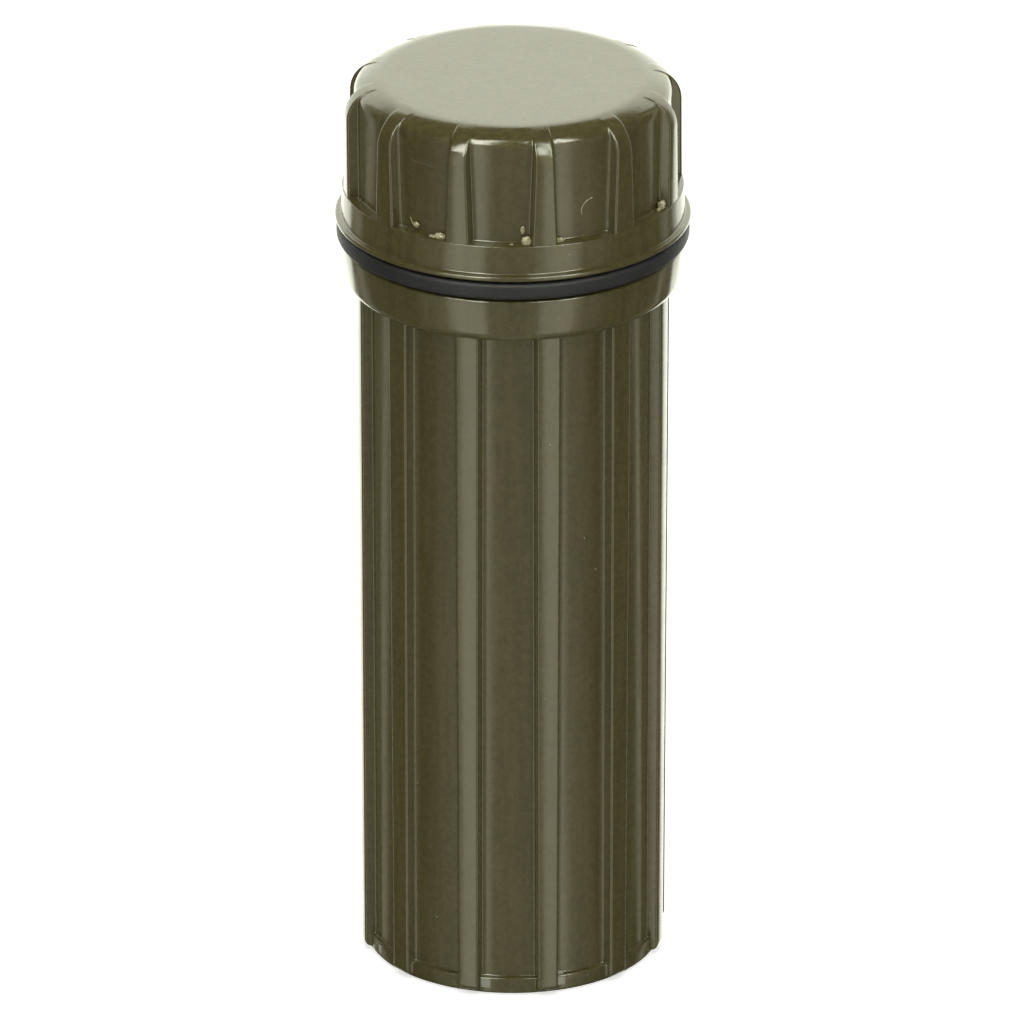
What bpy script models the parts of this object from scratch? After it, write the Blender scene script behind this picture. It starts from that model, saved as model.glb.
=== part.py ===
"""Survival kit capsule: a ribbed screw-top case, its seal ring and the kit that it holds.

The capsule stands on its base at the origin, +Z up, and its front faces -Y.
"""

import math

import bmesh
import bpy
from mathutils import Matrix, Vector

MM = 0.001

# Shared clearances and finenesses
SEAT_GAP = 0.3 * MM
OVERRUN = 0.5 * MM
MERGE = 0.001 * MM
SHELL_STEPS = 54
CASE_STEPS = 36
SMALL_STEPS = 24
ARC_STEPS = 4
SMOOTH_DEG = 30

# Case body: a moulded tube with ribs, a collar and a neck
CAVITY_RADIUS = 14.0 * MM
FLOOR_THICKNESS = 2.5 * MM
FLOOR_ROUND = 1.5 * MM
BODY_WALL = 2.5 * MM
BODY_DRAFT = 0.2 * MM
BODY_RIB_COUNT = 12
BODY_RIB_TURN_DEG = 13.1
BODY_RIB_HEIGHT = 1.3 * MM
BODY_RIB_TOP_WIDTH = 2.8 * MM
BODY_RIB_FOOT_WIDTH = 2.4 * MM
BODY_RIB_SUNK = 1.2 * MM
BASE_RING_STEP = 0.6 * MM
BASE_RING_HEIGHT = 2.0 * MM
BASE_RING_WIDTH = 2.3 * MM
BASE_RING_CHAMFER = 0.4 * MM
BASE_RECESS_DEPTH = 0.8 * MM
COLLAR_UNDERSIDE = 81.0 * MM
COLLAR_HEIGHT = 5.3 * MM
COLLAR_SETBACK = 0.8 * MM
COLLAR_DRAFT = 0.3 * MM
COLLAR_ROUND = 1.4 * MM
COLLAR_CHAMFER = 0.3 * MM
NECK_WALL = 1.6 * MM
NECK_HEIGHT = 10.9 * MM
NECK_ROUND = 0.5 * MM
SEAL_LAND_STEP = 1.3 * MM

# Seal ring, squeezed between the collar and the cap's skirt
SEAL_HEIGHT = 2.0 * MM
SEAL_SETBACK = 0.2 * MM
SEAL_CORNER = 0.55 * MM

# Screw cap
THREAD_CLEARANCE = 0.9 * MM
CAP_WALL = 1.25 * MM
CAP_HEIGHT = 16.7 * MM
CAP_ROOF_THICKNESS = 2.2 * MM
CAP_BORE_CHAMFER = 0.4 * MM
CAP_SHOULDER_WIDTH = 3.25 * MM
CAP_SHOULDER_DROP = 1.0 * MM
CAP_EDGE_ROUND = 0.8 * MM
CAP_BAND_HEIGHT = 3.9 * MM
CAP_BAND_STEP = 1.4 * MM
CAP_BAND_FLARE = 0.1 * MM
CAP_LIP_STEP = 0.75 * MM
CAP_LIP_HEIGHT = 0.6 * MM
CAP_LIP_ROUND = 0.25 * MM
CAP_RIB_COUNT = 12
CAP_RIB_TURN_DEG = 10.8
CAP_RIB_HEIGHT = 1.3 * MM
CAP_RIB_TOP_WIDTH = 2.0 * MM
CAP_RIB_FOOT_WIDTH = 2.9 * MM
CAP_RIB_DROP = 0.1 * MM
CAP_RIB_HEAD_ROUND = 3.7 * MM

# Tinder wad on the floor of the case
WAD_HEIGHT = 14.0 * MM
WAD_ROUND = 3.0 * MM
WAD_HOLE_RADIUS = 1.5 * MM
WAD_HOLE_DEPTH = 5.0 * MM

# Candle in the middle, stored wick down
CANDLE_RADIUS = 6.0 * MM
CANDLE_LENGTH = 72.0 * MM
CANDLE_CHAMFER = 0.5 * MM
WICK_RADIUS = 0.7 * MM
WICK_LENGTH = 9.0 * MM
WICK_SUNK_DEPTH = 5.0 * MM

# Button compass on top of the candle
COMPASS_RADIUS = 7.7 * MM
COMPASS_HEIGHT = 6.4 * MM
COMPASS_WALL = 0.8 * MM
COMPASS_LEDGE_WIDTH = 0.7 * MM
COMPASS_FLOOR = 1.0 * MM
COMPASS_LIP = 0.5 * MM
COMPASS_EDGE = 0.4 * MM
LENS_THICKNESS = 0.9 * MM
DIAL_THICKNESS = 0.4 * MM
DIAL_HOLE_RADIUS = 0.9 * MM
PIVOT_RADIUS = 0.5 * MM
PIVOT_TIP_RADIUS = 0.15 * MM
PIVOT_LENGTH = 2.1 * MM
NEEDLE_LENGTH = 10.0 * MM
NEEDLE_WIDTH = 1.9 * MM
NEEDLE_THICKNESS = 0.3 * MM
HUB_RADIUS = 1.2 * MM
HUB_HEIGHT = 1.1 * MM
HUB_HOLE_RADIUS = 0.7 * MM
HUB_HOLE_DEPTH = 0.8 * MM
NEEDLE_TURN_DEG = 20

# Matches: five stand against the wall and three inside them
MATCH_STICK_WIDTH = 2.0 * MM
MATCH_HEADROOM = 2.3 * MM
MATCH_HEAD_RADIUS = 1.6 * MM
MATCH_HEAD_LENGTH = 7.0 * MM
MATCH_MIDDLE_DEG = 78
OUTER_MATCH_COUNT = 5
INNER_MATCH_COUNT = 3

# Pencil
PENCIL_FLAT_WIDTH = 6.2 * MM
PENCIL_LENGTH = 71.0 * MM
PENCIL_POINT_LENGTH = 13.0 * MM
PENCIL_POINT_RADIUS = 1.5 * MM
LEAD_RADIUS = 0.9 * MM
LEAD_POINT_LENGTH = 3.0 * MM
LEAD_STAND_OUT = 2.5 * MM
PENCIL_DEG = 142

# Fire rod with its grip, and the scraper that strikes it
ROD_RADIUS = 2.5 * MM
ROD_HEADROOM = 1.3 * MM
ROD_CHAMFER = 0.4 * MM
ROD_IN_GRIP = 12.0 * MM
GRIP_RADIUS = 3.4 * MM
GRIP_LENGTH = 21.0 * MM
GRIP_ROUND = 0.9 * MM
GRIP_GROOVE_COUNT = 3
GRIP_GROOVE_PITCH = 3.0 * MM
GRIP_GROOVE_DEPTH = 0.35 * MM
GRIP_EYE_RADIUS = 1.1 * MM
GRIP_EYE_DROP = 3.6 * MM
ROD_DEG = 14
SCRAPER_WIDTH = 6.0 * MM
SCRAPER_LENGTH = 52.0 * MM
SCRAPER_THICKNESS = 1.2 * MM
SCRAPER_ROUND = 1.5 * MM
SCRAPER_EYE_RADIUS = 1.3 * MM
SCRAPER_TOOTH_COUNT = 8
SCRAPER_TOOTH_DEPTH = 0.7 * MM
SCRAPER_TOOTH_PITCH = 1.8 * MM
SCRAPER_TOOTH_START = 8.0 * MM

# Blade in its guard
GUARD_WIDTH = 9.0 * MM
GUARD_LENGTH = 46.0 * MM
GUARD_THICKNESS = 2.2 * MM
GUARD_WALL = 0.6 * MM
GUARD_EDGE = 0.3 * MM
BLADE_WIDTH = 6.4 * MM
BLADE_LENGTH = 52.0 * MM
BLADE_THICKNESS = 0.4 * MM
BLADE_POINT_LENGTH = 22.0 * MM
BLADE_TANG_LENGTH = 17.0 * MM
BLADE_TANG_WIDTH = 4.6 * MM
BLADE_SLOT_WIDTH = 1.8 * MM
BLADE_SLOT_LENGTH = 9.0 * MM
BLADE_DEG = -30

# Two safety pins, closed, standing on their coils
PIN_COUNT = 2
PIN_LENGTH = 36.0 * MM
PIN_WIRE_RADIUS = 0.4 * MM
PIN_COIL_RADIUS = 1.6 * MM
PIN_COIL_PITCH = 1.3 * MM
PIN_COIL_TURNS = 1.5
PIN_COIL_POINTS = 20
PIN_HEAD_SPREAD = 1.3 * MM
CLASP_LENGTH = 6.5 * MM
CLASP_THICKNESS = 2.4 * MM
CLASP_WALL = 0.5 * MM
CLASP_EDGE = 0.3 * MM
WIRE_IN_CLASP = 4.5 * MM
PIN_DEG = -79

# Two wrapped sticking plasters
PLASTER_COUNT = 2
PLASTER_WIDTH = 9.0 * MM
PLASTER_LENGTH = 60.0 * MM
PLASTER_THICKNESS = 1.6 * MM
PLASTER_CORNER = 0.8 * MM
PLASTER_EDGE = 0.4 * MM
PLASTER_DEG = -130

# Radii of the shell, outwards from the cavity
NECK_RADIUS = CAVITY_RADIUS + NECK_WALL
SEAL_LAND_RADIUS = NECK_RADIUS + SEAL_LAND_STEP
CAP_BORE_RADIUS = NECK_RADIUS + THREAD_CLEARANCE
CAP_FLUTE_RADIUS = CAP_BORE_RADIUS + CAP_WALL
CAP_BAND_TOP_RADIUS = CAP_FLUTE_RADIUS + CAP_BAND_STEP
CAP_BAND_FOOT_RADIUS = CAP_BAND_TOP_RADIUS + CAP_BAND_FLARE
CAP_LIP_RADIUS = CAP_BAND_FOOT_RADIUS + CAP_LIP_STEP
SEAL_OUTER_RADIUS = CAP_LIP_RADIUS - SEAL_SETBACK
COLLAR_TOP_RADIUS = CAP_LIP_RADIUS - COLLAR_SETBACK
COLLAR_LOW_RADIUS = COLLAR_TOP_RADIUS - COLLAR_DRAFT
PANEL_TOP_RADIUS = CAVITY_RADIUS + BODY_WALL
PANEL_FOOT_RADIUS = PANEL_TOP_RADIUS - BODY_DRAFT
BASE_RING_RADIUS = PANEL_FOOT_RADIUS + BASE_RING_STEP
BASE_RECESS_RADIUS = BASE_RING_RADIUS - BASE_RING_WIDTH

# Heights that several pieces share
COLLAR_TOP = COLLAR_UNDERSIDE + COLLAR_HEIGHT
SEAL_UNDERSIDE = COLLAR_TOP + SEAT_GAP
CAP_UNDERSIDE = SEAL_UNDERSIDE + SEAL_HEIGHT + SEAT_GAP
SEAL_LAND_TOP = CAP_UNDERSIDE - SEAT_GAP
NECK_RIM = SEAL_LAND_TOP + NECK_HEIGHT
CAP_TOP = CAP_UNDERSIDE + CAP_HEIGHT
WAD_UNDERSIDE = FLOOR_THICKNESS + SEAT_GAP
KIT_FLOOR = WAD_UNDERSIDE + WAD_HEIGHT + SEAT_GAP
KIT_WALL = CAVITY_RADIUS - SEAT_GAP
UNDER_COMPASS = CANDLE_LENGTH + SEAT_GAP
COMPASS_UNDERSIDE = KIT_FLOOR + UNDER_COMPASS

# Lengths of what stands beside the candle, below the compass
MATCH_LENGTH = UNDER_COMPASS - MATCH_HEADROOM
ROD_LENGTH = UNDER_COMPASS - ROD_HEADROOM - GRIP_LENGTH + ROD_IN_GRIP

# Colours as the photograph and real kits have them, with roughness and metallic
FINISHES = {
    "olive_plastic": ((0.075, 0.066, 0.026), 0.28, 0.0),
    "black_rubber": ((0.022, 0.023, 0.027), 0.55, 0.0),
    "cotton": ((0.78, 0.74, 0.64), 0.95, 0.0),
    "candle_wax": ((0.86, 0.83, 0.72), 0.4, 0.0),
    "wick_cord": ((0.7, 0.68, 0.6), 0.9, 0.0),
    "compass_brass": ((0.62, 0.43, 0.16), 0.3, 1.0),
    "dial_card": ((0.85, 0.84, 0.8), 0.6, 0.0),
    "needle_steel": ((0.65, 0.06, 0.04), 0.35, 0.3),
    "clear_plastic": ((0.9, 0.92, 0.92), 0.05, 0.0),
    "match_wood": ((0.72, 0.52, 0.3), 0.7, 0.0),
    "pencil_wood": ((0.7, 0.42, 0.08), 0.45, 0.0),
    "graphite": ((0.06, 0.06, 0.065), 0.4, 0.2),
    "fire_steel": ((0.1, 0.1, 0.105), 0.5, 0.7),
    "grip_plastic": ((0.03, 0.03, 0.03), 0.45, 0.0),
    "steel": ((0.55, 0.55, 0.56), 0.3, 1.0),
    "guard_card": ((0.55, 0.42, 0.28), 0.8, 0.0),
    "plaster_wrap": ((0.82, 0.8, 0.76), 0.7, 0.0),
}


def clear_scene():
    """Removes what the file opened with."""
    for obj in list(bpy.data.objects):
        bpy.data.objects.remove(obj)


def make_collection(name):
    collection = bpy.data.collections.new(name)
    bpy.context.scene.collection.children.link(collection)
    return collection


def make_material(name):
    colour, roughness, metallic = FINISHES[name]
    finish = bpy.data.materials.new(name)
    finish.use_nodes = True
    shader = finish.node_tree.nodes["Principled BSDF"]
    shader.inputs["Base Color"].default_value = (*colour, 1)
    shader.inputs["Roughness"].default_value = roughness
    shader.inputs["Metallic"].default_value = metallic
    finish.diffuse_color = (*colour, 1)
    return finish


clear_scene()
CAPSULE = make_collection("survival_capsule")
CUTTERS = make_collection("cutters")
MATERIALS = {name: make_material(name) for name in FINISHES}


def arc(centre, radius, start_deg, end_deg, steps=ARC_STEPS):
    """Points of an arc round centre, in degrees from +X towards the second axis, both ends included."""
    points = []
    for step in range(steps + 1):
        angle = math.radians(start_deg + (end_deg - start_deg) * step / steps)
        points.append((centre[0] + radius * math.cos(angle), centre[1] + radius * math.sin(angle)))
    return points


def mesh_object(name, bm):
    """A helper object in the cutters collection that holds this bmesh."""
    mesh = bpy.data.meshes.new(name)
    bm.to_mesh(mesh)
    bm.free()
    return helper(name, mesh)


def helper(name, data):
    obj = bpy.data.objects.new(name, data)
    CUTTERS.objects.link(obj)
    obj.hide_render = True
    obj.display_type = "WIRE"
    return obj


def evaluated_mesh(obj):
    """The object's mesh with its modifiers, its curve's caps welded, in its own frame."""
    bpy.context.view_layer.update()
    graph = bpy.context.evaluated_depsgraph_get()
    mesh = bpy.data.meshes.new_from_object(obj.evaluated_get(graph))
    bm = bmesh.new()
    bm.from_mesh(mesh)
    bmesh.ops.remove_doubles(bm, verts=bm.verts, dist=MERGE)
    bm.to_mesh(mesh)
    bm.free()
    return mesh


def turned(name, outline, steps=SMALL_STEPS, ring=False):
    """A turned helper from an outline of (radius, height) that runs down the outer side.

    A ring's outline closes on itself, and any other starts and ends on the axis.
    """
    bm = bmesh.new()
    verts = [bm.verts.new((radius, 0, height)) for radius, height in outline]
    ends = zip(verts, verts[1:] + verts[:1]) if ring else zip(verts, verts[1:])
    for start, end in ends:
        bm.edges.new((start, end))
    obj = mesh_object(name, bm)
    screw = obj.modifiers.new("turn", "SCREW")
    screw.steps = screw.render_steps = steps
    screw.use_merge_vertices = True
    screw.merge_threshold = MERGE
    baked = helper(name, evaluated_mesh(obj))
    bpy.data.objects.remove(obj)
    return baked


def box(name, low, high):
    """A box between two corners, shaped from a unit cube."""
    bm = bmesh.new()
    bmesh.ops.create_cube(bm, size=1)
    low, high = Vector(low), Vector(high)
    for vert in bm.verts:
        for axis in range(3):
            vert.co[axis] = high[axis] if vert.co[axis] > 0 else low[axis]
    return mesh_object(name, bm)


def cylinder(name, radius, low, high, steps=SMALL_STEPS):
    """An upright cylinder on the Z axis."""
    bm = bmesh.new()
    bmesh.ops.create_cone(
        bm, cap_ends=True, segments=steps, radius1=radius, radius2=radius, depth=high - low
    )
    bmesh.ops.translate(bm, verts=bm.verts, vec=(0, 0, (low + high) / 2))
    return mesh_object(name, bm)


def plate(name, loops, thickness, edge=0):
    """A flat plate in XY. The first loop of points is its outline and the others are holes."""
    curve = bpy.data.curves.new(name, "CURVE")
    curve.dimensions = "2D"
    curve.fill_mode = "BOTH"
    curve.extrude = thickness / 2
    for loop in loops:
        spline = curve.splines.new("POLY")
        spline.points.add(len(loop) - 1)
        for point, (x, y) in zip(spline.points, loop):
            point.co = (x, y, 0, 1)
        spline.use_cyclic_u = True
    obj = helper(name, curve)
    baked = helper(name, evaluated_mesh(obj))
    bpy.data.objects.remove(obj)
    if edge:
        bevel = baked.modifiers.new("edges", "BEVEL")
        bevel.width = edge
        bevel.segments = 2
        bevel.limit_method = "ANGLE"
    return baked


def round_corners(half_width, low, high, radius):
    """The outline of an upright rectangle with four round corners, anticlockwise."""
    inner = half_width - radius
    return (
        arc((inner, low + radius), radius, -90, 0)
        + arc((inner, high - radius), radius, 0, 90)
        + arc((-inner, high - radius), radius, 90, 180)
        + arc((-inner, low + radius), radius, 180, 270)
    )


def boolean(obj, tool, operation):
    """Adds a Boolean of the tool, which stays as a hidden cutter."""
    modifier = obj.modifiers.new(tool.name, "BOOLEAN")
    modifier.operation = operation
    modifier.solver = "EXACT"
    modifier.object = tool
    return obj


def cut(obj, tool):
    return boolean(obj, tool, "DIFFERENCE")


def join(obj, tool):
    return boolean(obj, tool, "UNION")


def finish(helper_object, name, material, matrix=None):
    """Bakes the helper's shape and adds it to the capsule as a named, smooth-shaded piece."""
    mesh = evaluated_mesh(helper_object)
    mesh.name = name
    mesh.materials.clear()
    mesh.materials.append(MATERIALS[material])
    mesh.shade_smooth()
    mesh.set_sharp_from_angle(angle=math.radians(SMOOTH_DEG))
    return add_piece(name, mesh, matrix)


def add_piece(name, mesh, matrix=None):
    piece = bpy.data.objects.new(name, mesh)
    CAPSULE.objects.link(piece)
    if matrix is not None:
        piece.matrix_world = matrix
    return piece


def beside_candle(angle_deg, reach, lift):
    """Places an upright turned piece at this reach from the axis."""
    angle = math.radians(angle_deg)
    return Matrix.Translation((reach * math.cos(angle), reach * math.sin(angle), lift))


def facing_out(angle_deg, reach, lift):
    """Stands a plate up: its X runs round the wall, its Y up and its thickness outwards."""
    angle = math.radians(angle_deg)
    outward = Vector((math.cos(angle), math.sin(angle), 0))
    around = Vector((-math.sin(angle), math.cos(angle), 0))
    up = Vector((0, 0, 1))
    turn = Matrix((around, up, outward)).transposed().to_4x4()
    return Matrix.Translation(outward * reach + up * lift) @ turn


def rib_bar(name, root_radius, foot, head, head_round=0):
    """One rib on the +X side. Foot and head are (radius, height, width) of its outer face."""
    bm = bmesh.new()
    bmesh.ops.create_cube(bm, size=1)
    for vert in bm.verts:
        radius, height, width = head if vert.co.z > 0 else foot
        side = math.copysign(width / 2, vert.co.y)
        vert.co = (radius if vert.co.x > 0 else root_radius, side, height)
    if head_round:
        crest = [edge for edge in bm.edges if all(is_at(vert, head) for vert in edge.verts)]
        bmesh.ops.bevel(
            bm, geom=crest, offset=head_round, segments=2 * ARC_STEPS, profile=0.5, affect="EDGES"
        )
    return mesh_object(name, bm)


def is_at(vert, head):
    """Whether the vertex is a corner of a rib's outer face at its head."""
    return abs(vert.co.x - head[0]) < MERGE and abs(vert.co.z - head[1]) < MERGE


def ring_of(name, bar, count, turn_deg):
    """Copies of one rib round the axis, as one helper. The first is this far round from -Y towards +X."""
    bm = bmesh.new()
    for index in range(count):
        copy = bar.data.copy()
        copy.transform(Matrix.Rotation(math.radians(turn_deg - 90) + math.tau * index / count, 4, "Z"))
        bm.from_mesh(copy)
        bpy.data.meshes.remove(copy)
    bpy.data.objects.remove(bar)
    return mesh_object(name, bm)


def body_outline():
    """The case body's section: up the cavity, over the rim and down the outside to the base."""
    collar_round_centre = (COLLAR_LOW_RADIUS - COLLAR_ROUND, COLLAR_UNDERSIDE + COLLAR_ROUND)
    cavity = [(0, FLOOR_THICKNESS)]
    cavity += arc((CAVITY_RADIUS - FLOOR_ROUND, FLOOR_THICKNESS + FLOOR_ROUND), FLOOR_ROUND, -90, 0)
    neck = [(CAVITY_RADIUS, NECK_RIM - NECK_ROUND)]
    neck += [(CAVITY_RADIUS + NECK_ROUND, NECK_RIM)]
    neck += arc((NECK_RADIUS - NECK_ROUND, NECK_RIM - NECK_ROUND), NECK_ROUND, 90, 0)
    seat = [
        (NECK_RADIUS, SEAL_LAND_TOP),
        (SEAL_LAND_RADIUS, SEAL_LAND_TOP),
        (SEAL_LAND_RADIUS, COLLAR_TOP),
    ]
    collar = [
        (COLLAR_TOP_RADIUS - COLLAR_CHAMFER, COLLAR_TOP),
        (COLLAR_TOP_RADIUS, COLLAR_TOP - COLLAR_CHAMFER),
    ]
    collar += arc(collar_round_centre, COLLAR_ROUND, 0, -90)
    wall = [
        (PANEL_TOP_RADIUS, COLLAR_UNDERSIDE),
        (PANEL_FOOT_RADIUS, BASE_RING_HEIGHT),
        (BASE_RING_RADIUS, BASE_RING_HEIGHT),
    ]
    base = [
        (BASE_RING_RADIUS, BASE_RING_CHAMFER),
        (BASE_RING_RADIUS - BASE_RING_CHAMFER, 0),
        (BASE_RECESS_RADIUS, 0),
        (BASE_RECESS_RADIUS - BASE_RECESS_DEPTH, BASE_RECESS_DEPTH),
        (0, BASE_RECESS_DEPTH),
    ]
    return cavity + neck + seat + collar + wall + base


def make_body():
    """The ribbed case body, with its collar, seal land and neck."""
    rib_top_radius = PANEL_TOP_RADIUS + BODY_RIB_HEIGHT
    rib_foot_radius = rib_top_radius - BODY_DRAFT
    bar = rib_bar(
        "body_rib",
        PANEL_TOP_RADIUS - BODY_RIB_SUNK,
        (rib_foot_radius, BASE_RING_CHAMFER, BODY_RIB_FOOT_WIDTH),
        (rib_top_radius, COLLAR_UNDERSIDE + COLLAR_ROUND, BODY_RIB_TOP_WIDTH),
    )
    ribs = ring_of("body_ribs", bar, BODY_RIB_COUNT, BODY_RIB_TURN_DEG)
    body = join(turned("body_turning", body_outline(), SHELL_STEPS), ribs)
    finish(body, "capsule_body", "olive_plastic")


def make_seal():
    """The seal ring, squeezed flat above and below and round outside."""
    inner = SEAL_LAND_RADIUS + SEAT_GAP
    top = SEAL_UNDERSIDE + SEAL_HEIGHT
    outline = [(inner, top)]
    outline += arc((SEAL_OUTER_RADIUS - SEAL_CORNER, top - SEAL_CORNER), SEAL_CORNER, 90, 0)
    outline += arc((SEAL_OUTER_RADIUS - SEAL_CORNER, SEAL_UNDERSIDE + SEAL_CORNER), SEAL_CORNER, 0, -90)
    outline += [(inner, SEAL_UNDERSIDE)]
    finish(turned("seal_turning", outline, SHELL_STEPS, ring=True), "seal_ring", "black_rubber")


def cap_shoulder():
    """The domed shoulder's outline, from the flat top to the round edge over the flutes."""
    dome = (CAP_SHOULDER_WIDTH**2 + CAP_SHOULDER_DROP**2) / (2 * CAP_SHOULDER_DROP)
    centre = (CAP_FLUTE_RADIUS - CAP_SHOULDER_WIDTH, CAP_TOP - dome)
    reach = CAP_SHOULDER_WIDTH - CAP_EDGE_ROUND
    rise = math.sqrt((dome - CAP_EDGE_ROUND) ** 2 - reach**2)
    meet_deg = math.degrees(math.atan2(rise, reach))
    edge_centre = (centre[0] + reach, centre[1] + rise)
    return arc(centre, dome, 90, meet_deg) + arc(edge_centre, CAP_EDGE_ROUND, meet_deg, 0)[1:]


def cap_outline():
    """The cap's section: from the middle of its top down the outside, and up the bore to the roof."""
    band_top = CAP_UNDERSIDE + CAP_BAND_HEIGHT
    roof = CAP_TOP - CAP_ROOF_THICKNESS
    top = [(0, CAP_TOP)] + cap_shoulder()
    lip_top = CAP_UNDERSIDE + CAP_LIP_HEIGHT
    lip_centre = CAP_LIP_RADIUS - CAP_LIP_ROUND
    band = [
        (CAP_FLUTE_RADIUS, band_top),
        (CAP_BAND_TOP_RADIUS, band_top),
        (CAP_BAND_FOOT_RADIUS, lip_top),
    ]
    lip_steps = ARC_STEPS // 2
    band += arc((lip_centre, lip_top - CAP_LIP_ROUND), CAP_LIP_ROUND, 90, 0, lip_steps)
    band += arc((lip_centre, CAP_UNDERSIDE + CAP_LIP_ROUND), CAP_LIP_ROUND, 0, -90, lip_steps)
    bore = [
        (CAP_BORE_RADIUS + CAP_BORE_CHAMFER, CAP_UNDERSIDE),
        (CAP_BORE_RADIUS, CAP_UNDERSIDE + CAP_BORE_CHAMFER),
        (CAP_BORE_RADIUS, roof - CAP_BORE_CHAMFER),
        (CAP_BORE_RADIUS - CAP_BORE_CHAMFER, roof),
        (0, roof),
    ]
    return top + band + bore


def make_cap():
    """The screw cap, with its domed shoulder, finger ribs, and skirt band with its lip."""
    rib_radius = CAP_FLUTE_RADIUS + CAP_RIB_HEIGHT
    bar = rib_bar(
        "cap_rib",
        rib_radius - CAP_RIB_HEAD_ROUND - SEAT_GAP,
        (rib_radius, CAP_UNDERSIDE + CAP_BAND_HEIGHT - OVERRUN, CAP_RIB_FOOT_WIDTH),
        (rib_radius, CAP_TOP - CAP_RIB_DROP, CAP_RIB_TOP_WIDTH),
        CAP_RIB_HEAD_ROUND,
    )
    ribs = ring_of("cap_ribs", bar, CAP_RIB_COUNT, CAP_RIB_TURN_DEG)
    hollow = cylinder(
        "cap_hollow",
        CAP_BORE_RADIUS,
        CAP_UNDERSIDE + CAP_BORE_CHAMFER,
        CAP_TOP - CAP_ROOF_THICKNESS - CAP_BORE_CHAMFER,
        SHELL_STEPS,
    )
    cap = join(turned("cap_turning", cap_outline(), SHELL_STEPS), cut(ribs, hollow))
    finish(cap, "cap", "olive_plastic")


def make_wad():
    """The tinder wad, with a hole for the candle's wick."""
    radius = CAVITY_RADIUS - SEAT_GAP
    top = WAD_UNDERSIDE + WAD_HEIGHT
    outline = [
        (0, top - WAD_HOLE_DEPTH),
        (WAD_HOLE_RADIUS, top - WAD_HOLE_DEPTH),
        (WAD_HOLE_RADIUS, top),
    ]
    outline += arc((radius - WAD_ROUND, top - WAD_ROUND), WAD_ROUND, 90, 0)
    outline += arc((radius - WAD_ROUND, WAD_UNDERSIDE + WAD_ROUND), WAD_ROUND, 0, -90)
    outline += [(0, WAD_UNDERSIDE)]
    finish(turned("wad_turning", outline, CASE_STEPS), "tinder_wad", "cotton")


def make_candle():
    """The candle stands on the wad with its wick down in the wad's hole."""
    top = KIT_FLOOR + CANDLE_LENGTH
    bore = WICK_RADIUS + SEAT_GAP
    outline = [
        (0, top),
        (CANDLE_RADIUS - CANDLE_CHAMFER, top),
        (CANDLE_RADIUS, top - CANDLE_CHAMFER),
        (CANDLE_RADIUS, KIT_FLOOR + CANDLE_CHAMFER),
        (CANDLE_RADIUS - CANDLE_CHAMFER, KIT_FLOOR),
        (bore, KIT_FLOOR),
        (bore, KIT_FLOOR + WICK_SUNK_DEPTH),
        (0, KIT_FLOOR + WICK_SUNK_DEPTH),
    ]
    finish(turned("candle_turning", outline), "candle", "candle_wax")
    wick_top = KIT_FLOOR + WICK_SUNK_DEPTH - SEAT_GAP
    wick = cylinder("wick_turning", WICK_RADIUS, wick_top - WICK_LENGTH, wick_top)
    finish(wick, "candle_wick", "wick_cord")


def make_compass():
    """The button compass: case, dial, pivot, needle and lens, on top of the candle."""
    lift = Matrix.Translation((0, 0, COMPASS_UNDERSIDE))
    lens_top = COMPASS_HEIGHT - COMPASS_LIP
    lens_underside = lens_top - LENS_THICKNESS
    ledge = lens_underside - SEAT_GAP
    upper_bore = COMPASS_RADIUS - COMPASS_WALL
    lower_bore = upper_bore - COMPASS_LEDGE_WIDTH
    case = [
        (0, COMPASS_FLOOR),
        (lower_bore, COMPASS_FLOOR),
        (lower_bore, ledge),
        (upper_bore, ledge),
        (upper_bore, COMPASS_HEIGHT),
        (COMPASS_RADIUS - COMPASS_EDGE, COMPASS_HEIGHT),
        (COMPASS_RADIUS, COMPASS_HEIGHT - COMPASS_EDGE),
        (COMPASS_RADIUS, COMPASS_EDGE),
        (COMPASS_RADIUS - COMPASS_EDGE, 0),
        (0, 0),
    ]
    finish(turned("case_turning", case, CASE_STEPS), "compass_case", "compass_brass", lift)
    lens_radius = upper_bore - SEAT_GAP
    lens = cylinder("lens_turning", lens_radius, lens_underside, lens_top, CASE_STEPS)
    finish(lens, "compass_lens", "clear_plastic", lift)
    dial_underside = COMPASS_FLOOR + SEAT_GAP
    dial_radius = lower_bore - SEAT_GAP
    dial = [
        (DIAL_HOLE_RADIUS, dial_underside + DIAL_THICKNESS),
        (dial_radius, dial_underside + DIAL_THICKNESS),
        (dial_radius, dial_underside),
        (DIAL_HOLE_RADIUS, dial_underside),
    ]
    finish(turned("dial_turning", dial, CASE_STEPS, ring=True), "compass_dial", "dial_card", lift)
    pivot_foot = COMPASS_FLOOR + SEAT_GAP
    pivot_tip = pivot_foot + PIVOT_LENGTH
    pivot = [
        (0, pivot_tip),
        (PIVOT_TIP_RADIUS, pivot_tip - PIVOT_TIP_RADIUS),
        (PIVOT_RADIUS, pivot_tip - PIVOT_LENGTH / 2),
        (PIVOT_RADIUS, pivot_foot),
        (0, pivot_foot),
    ]
    finish(turned("pivot_turning", pivot), "compass_pivot", "steel", lift)
    make_needle(lift, pivot_tip + SEAT_GAP)


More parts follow.
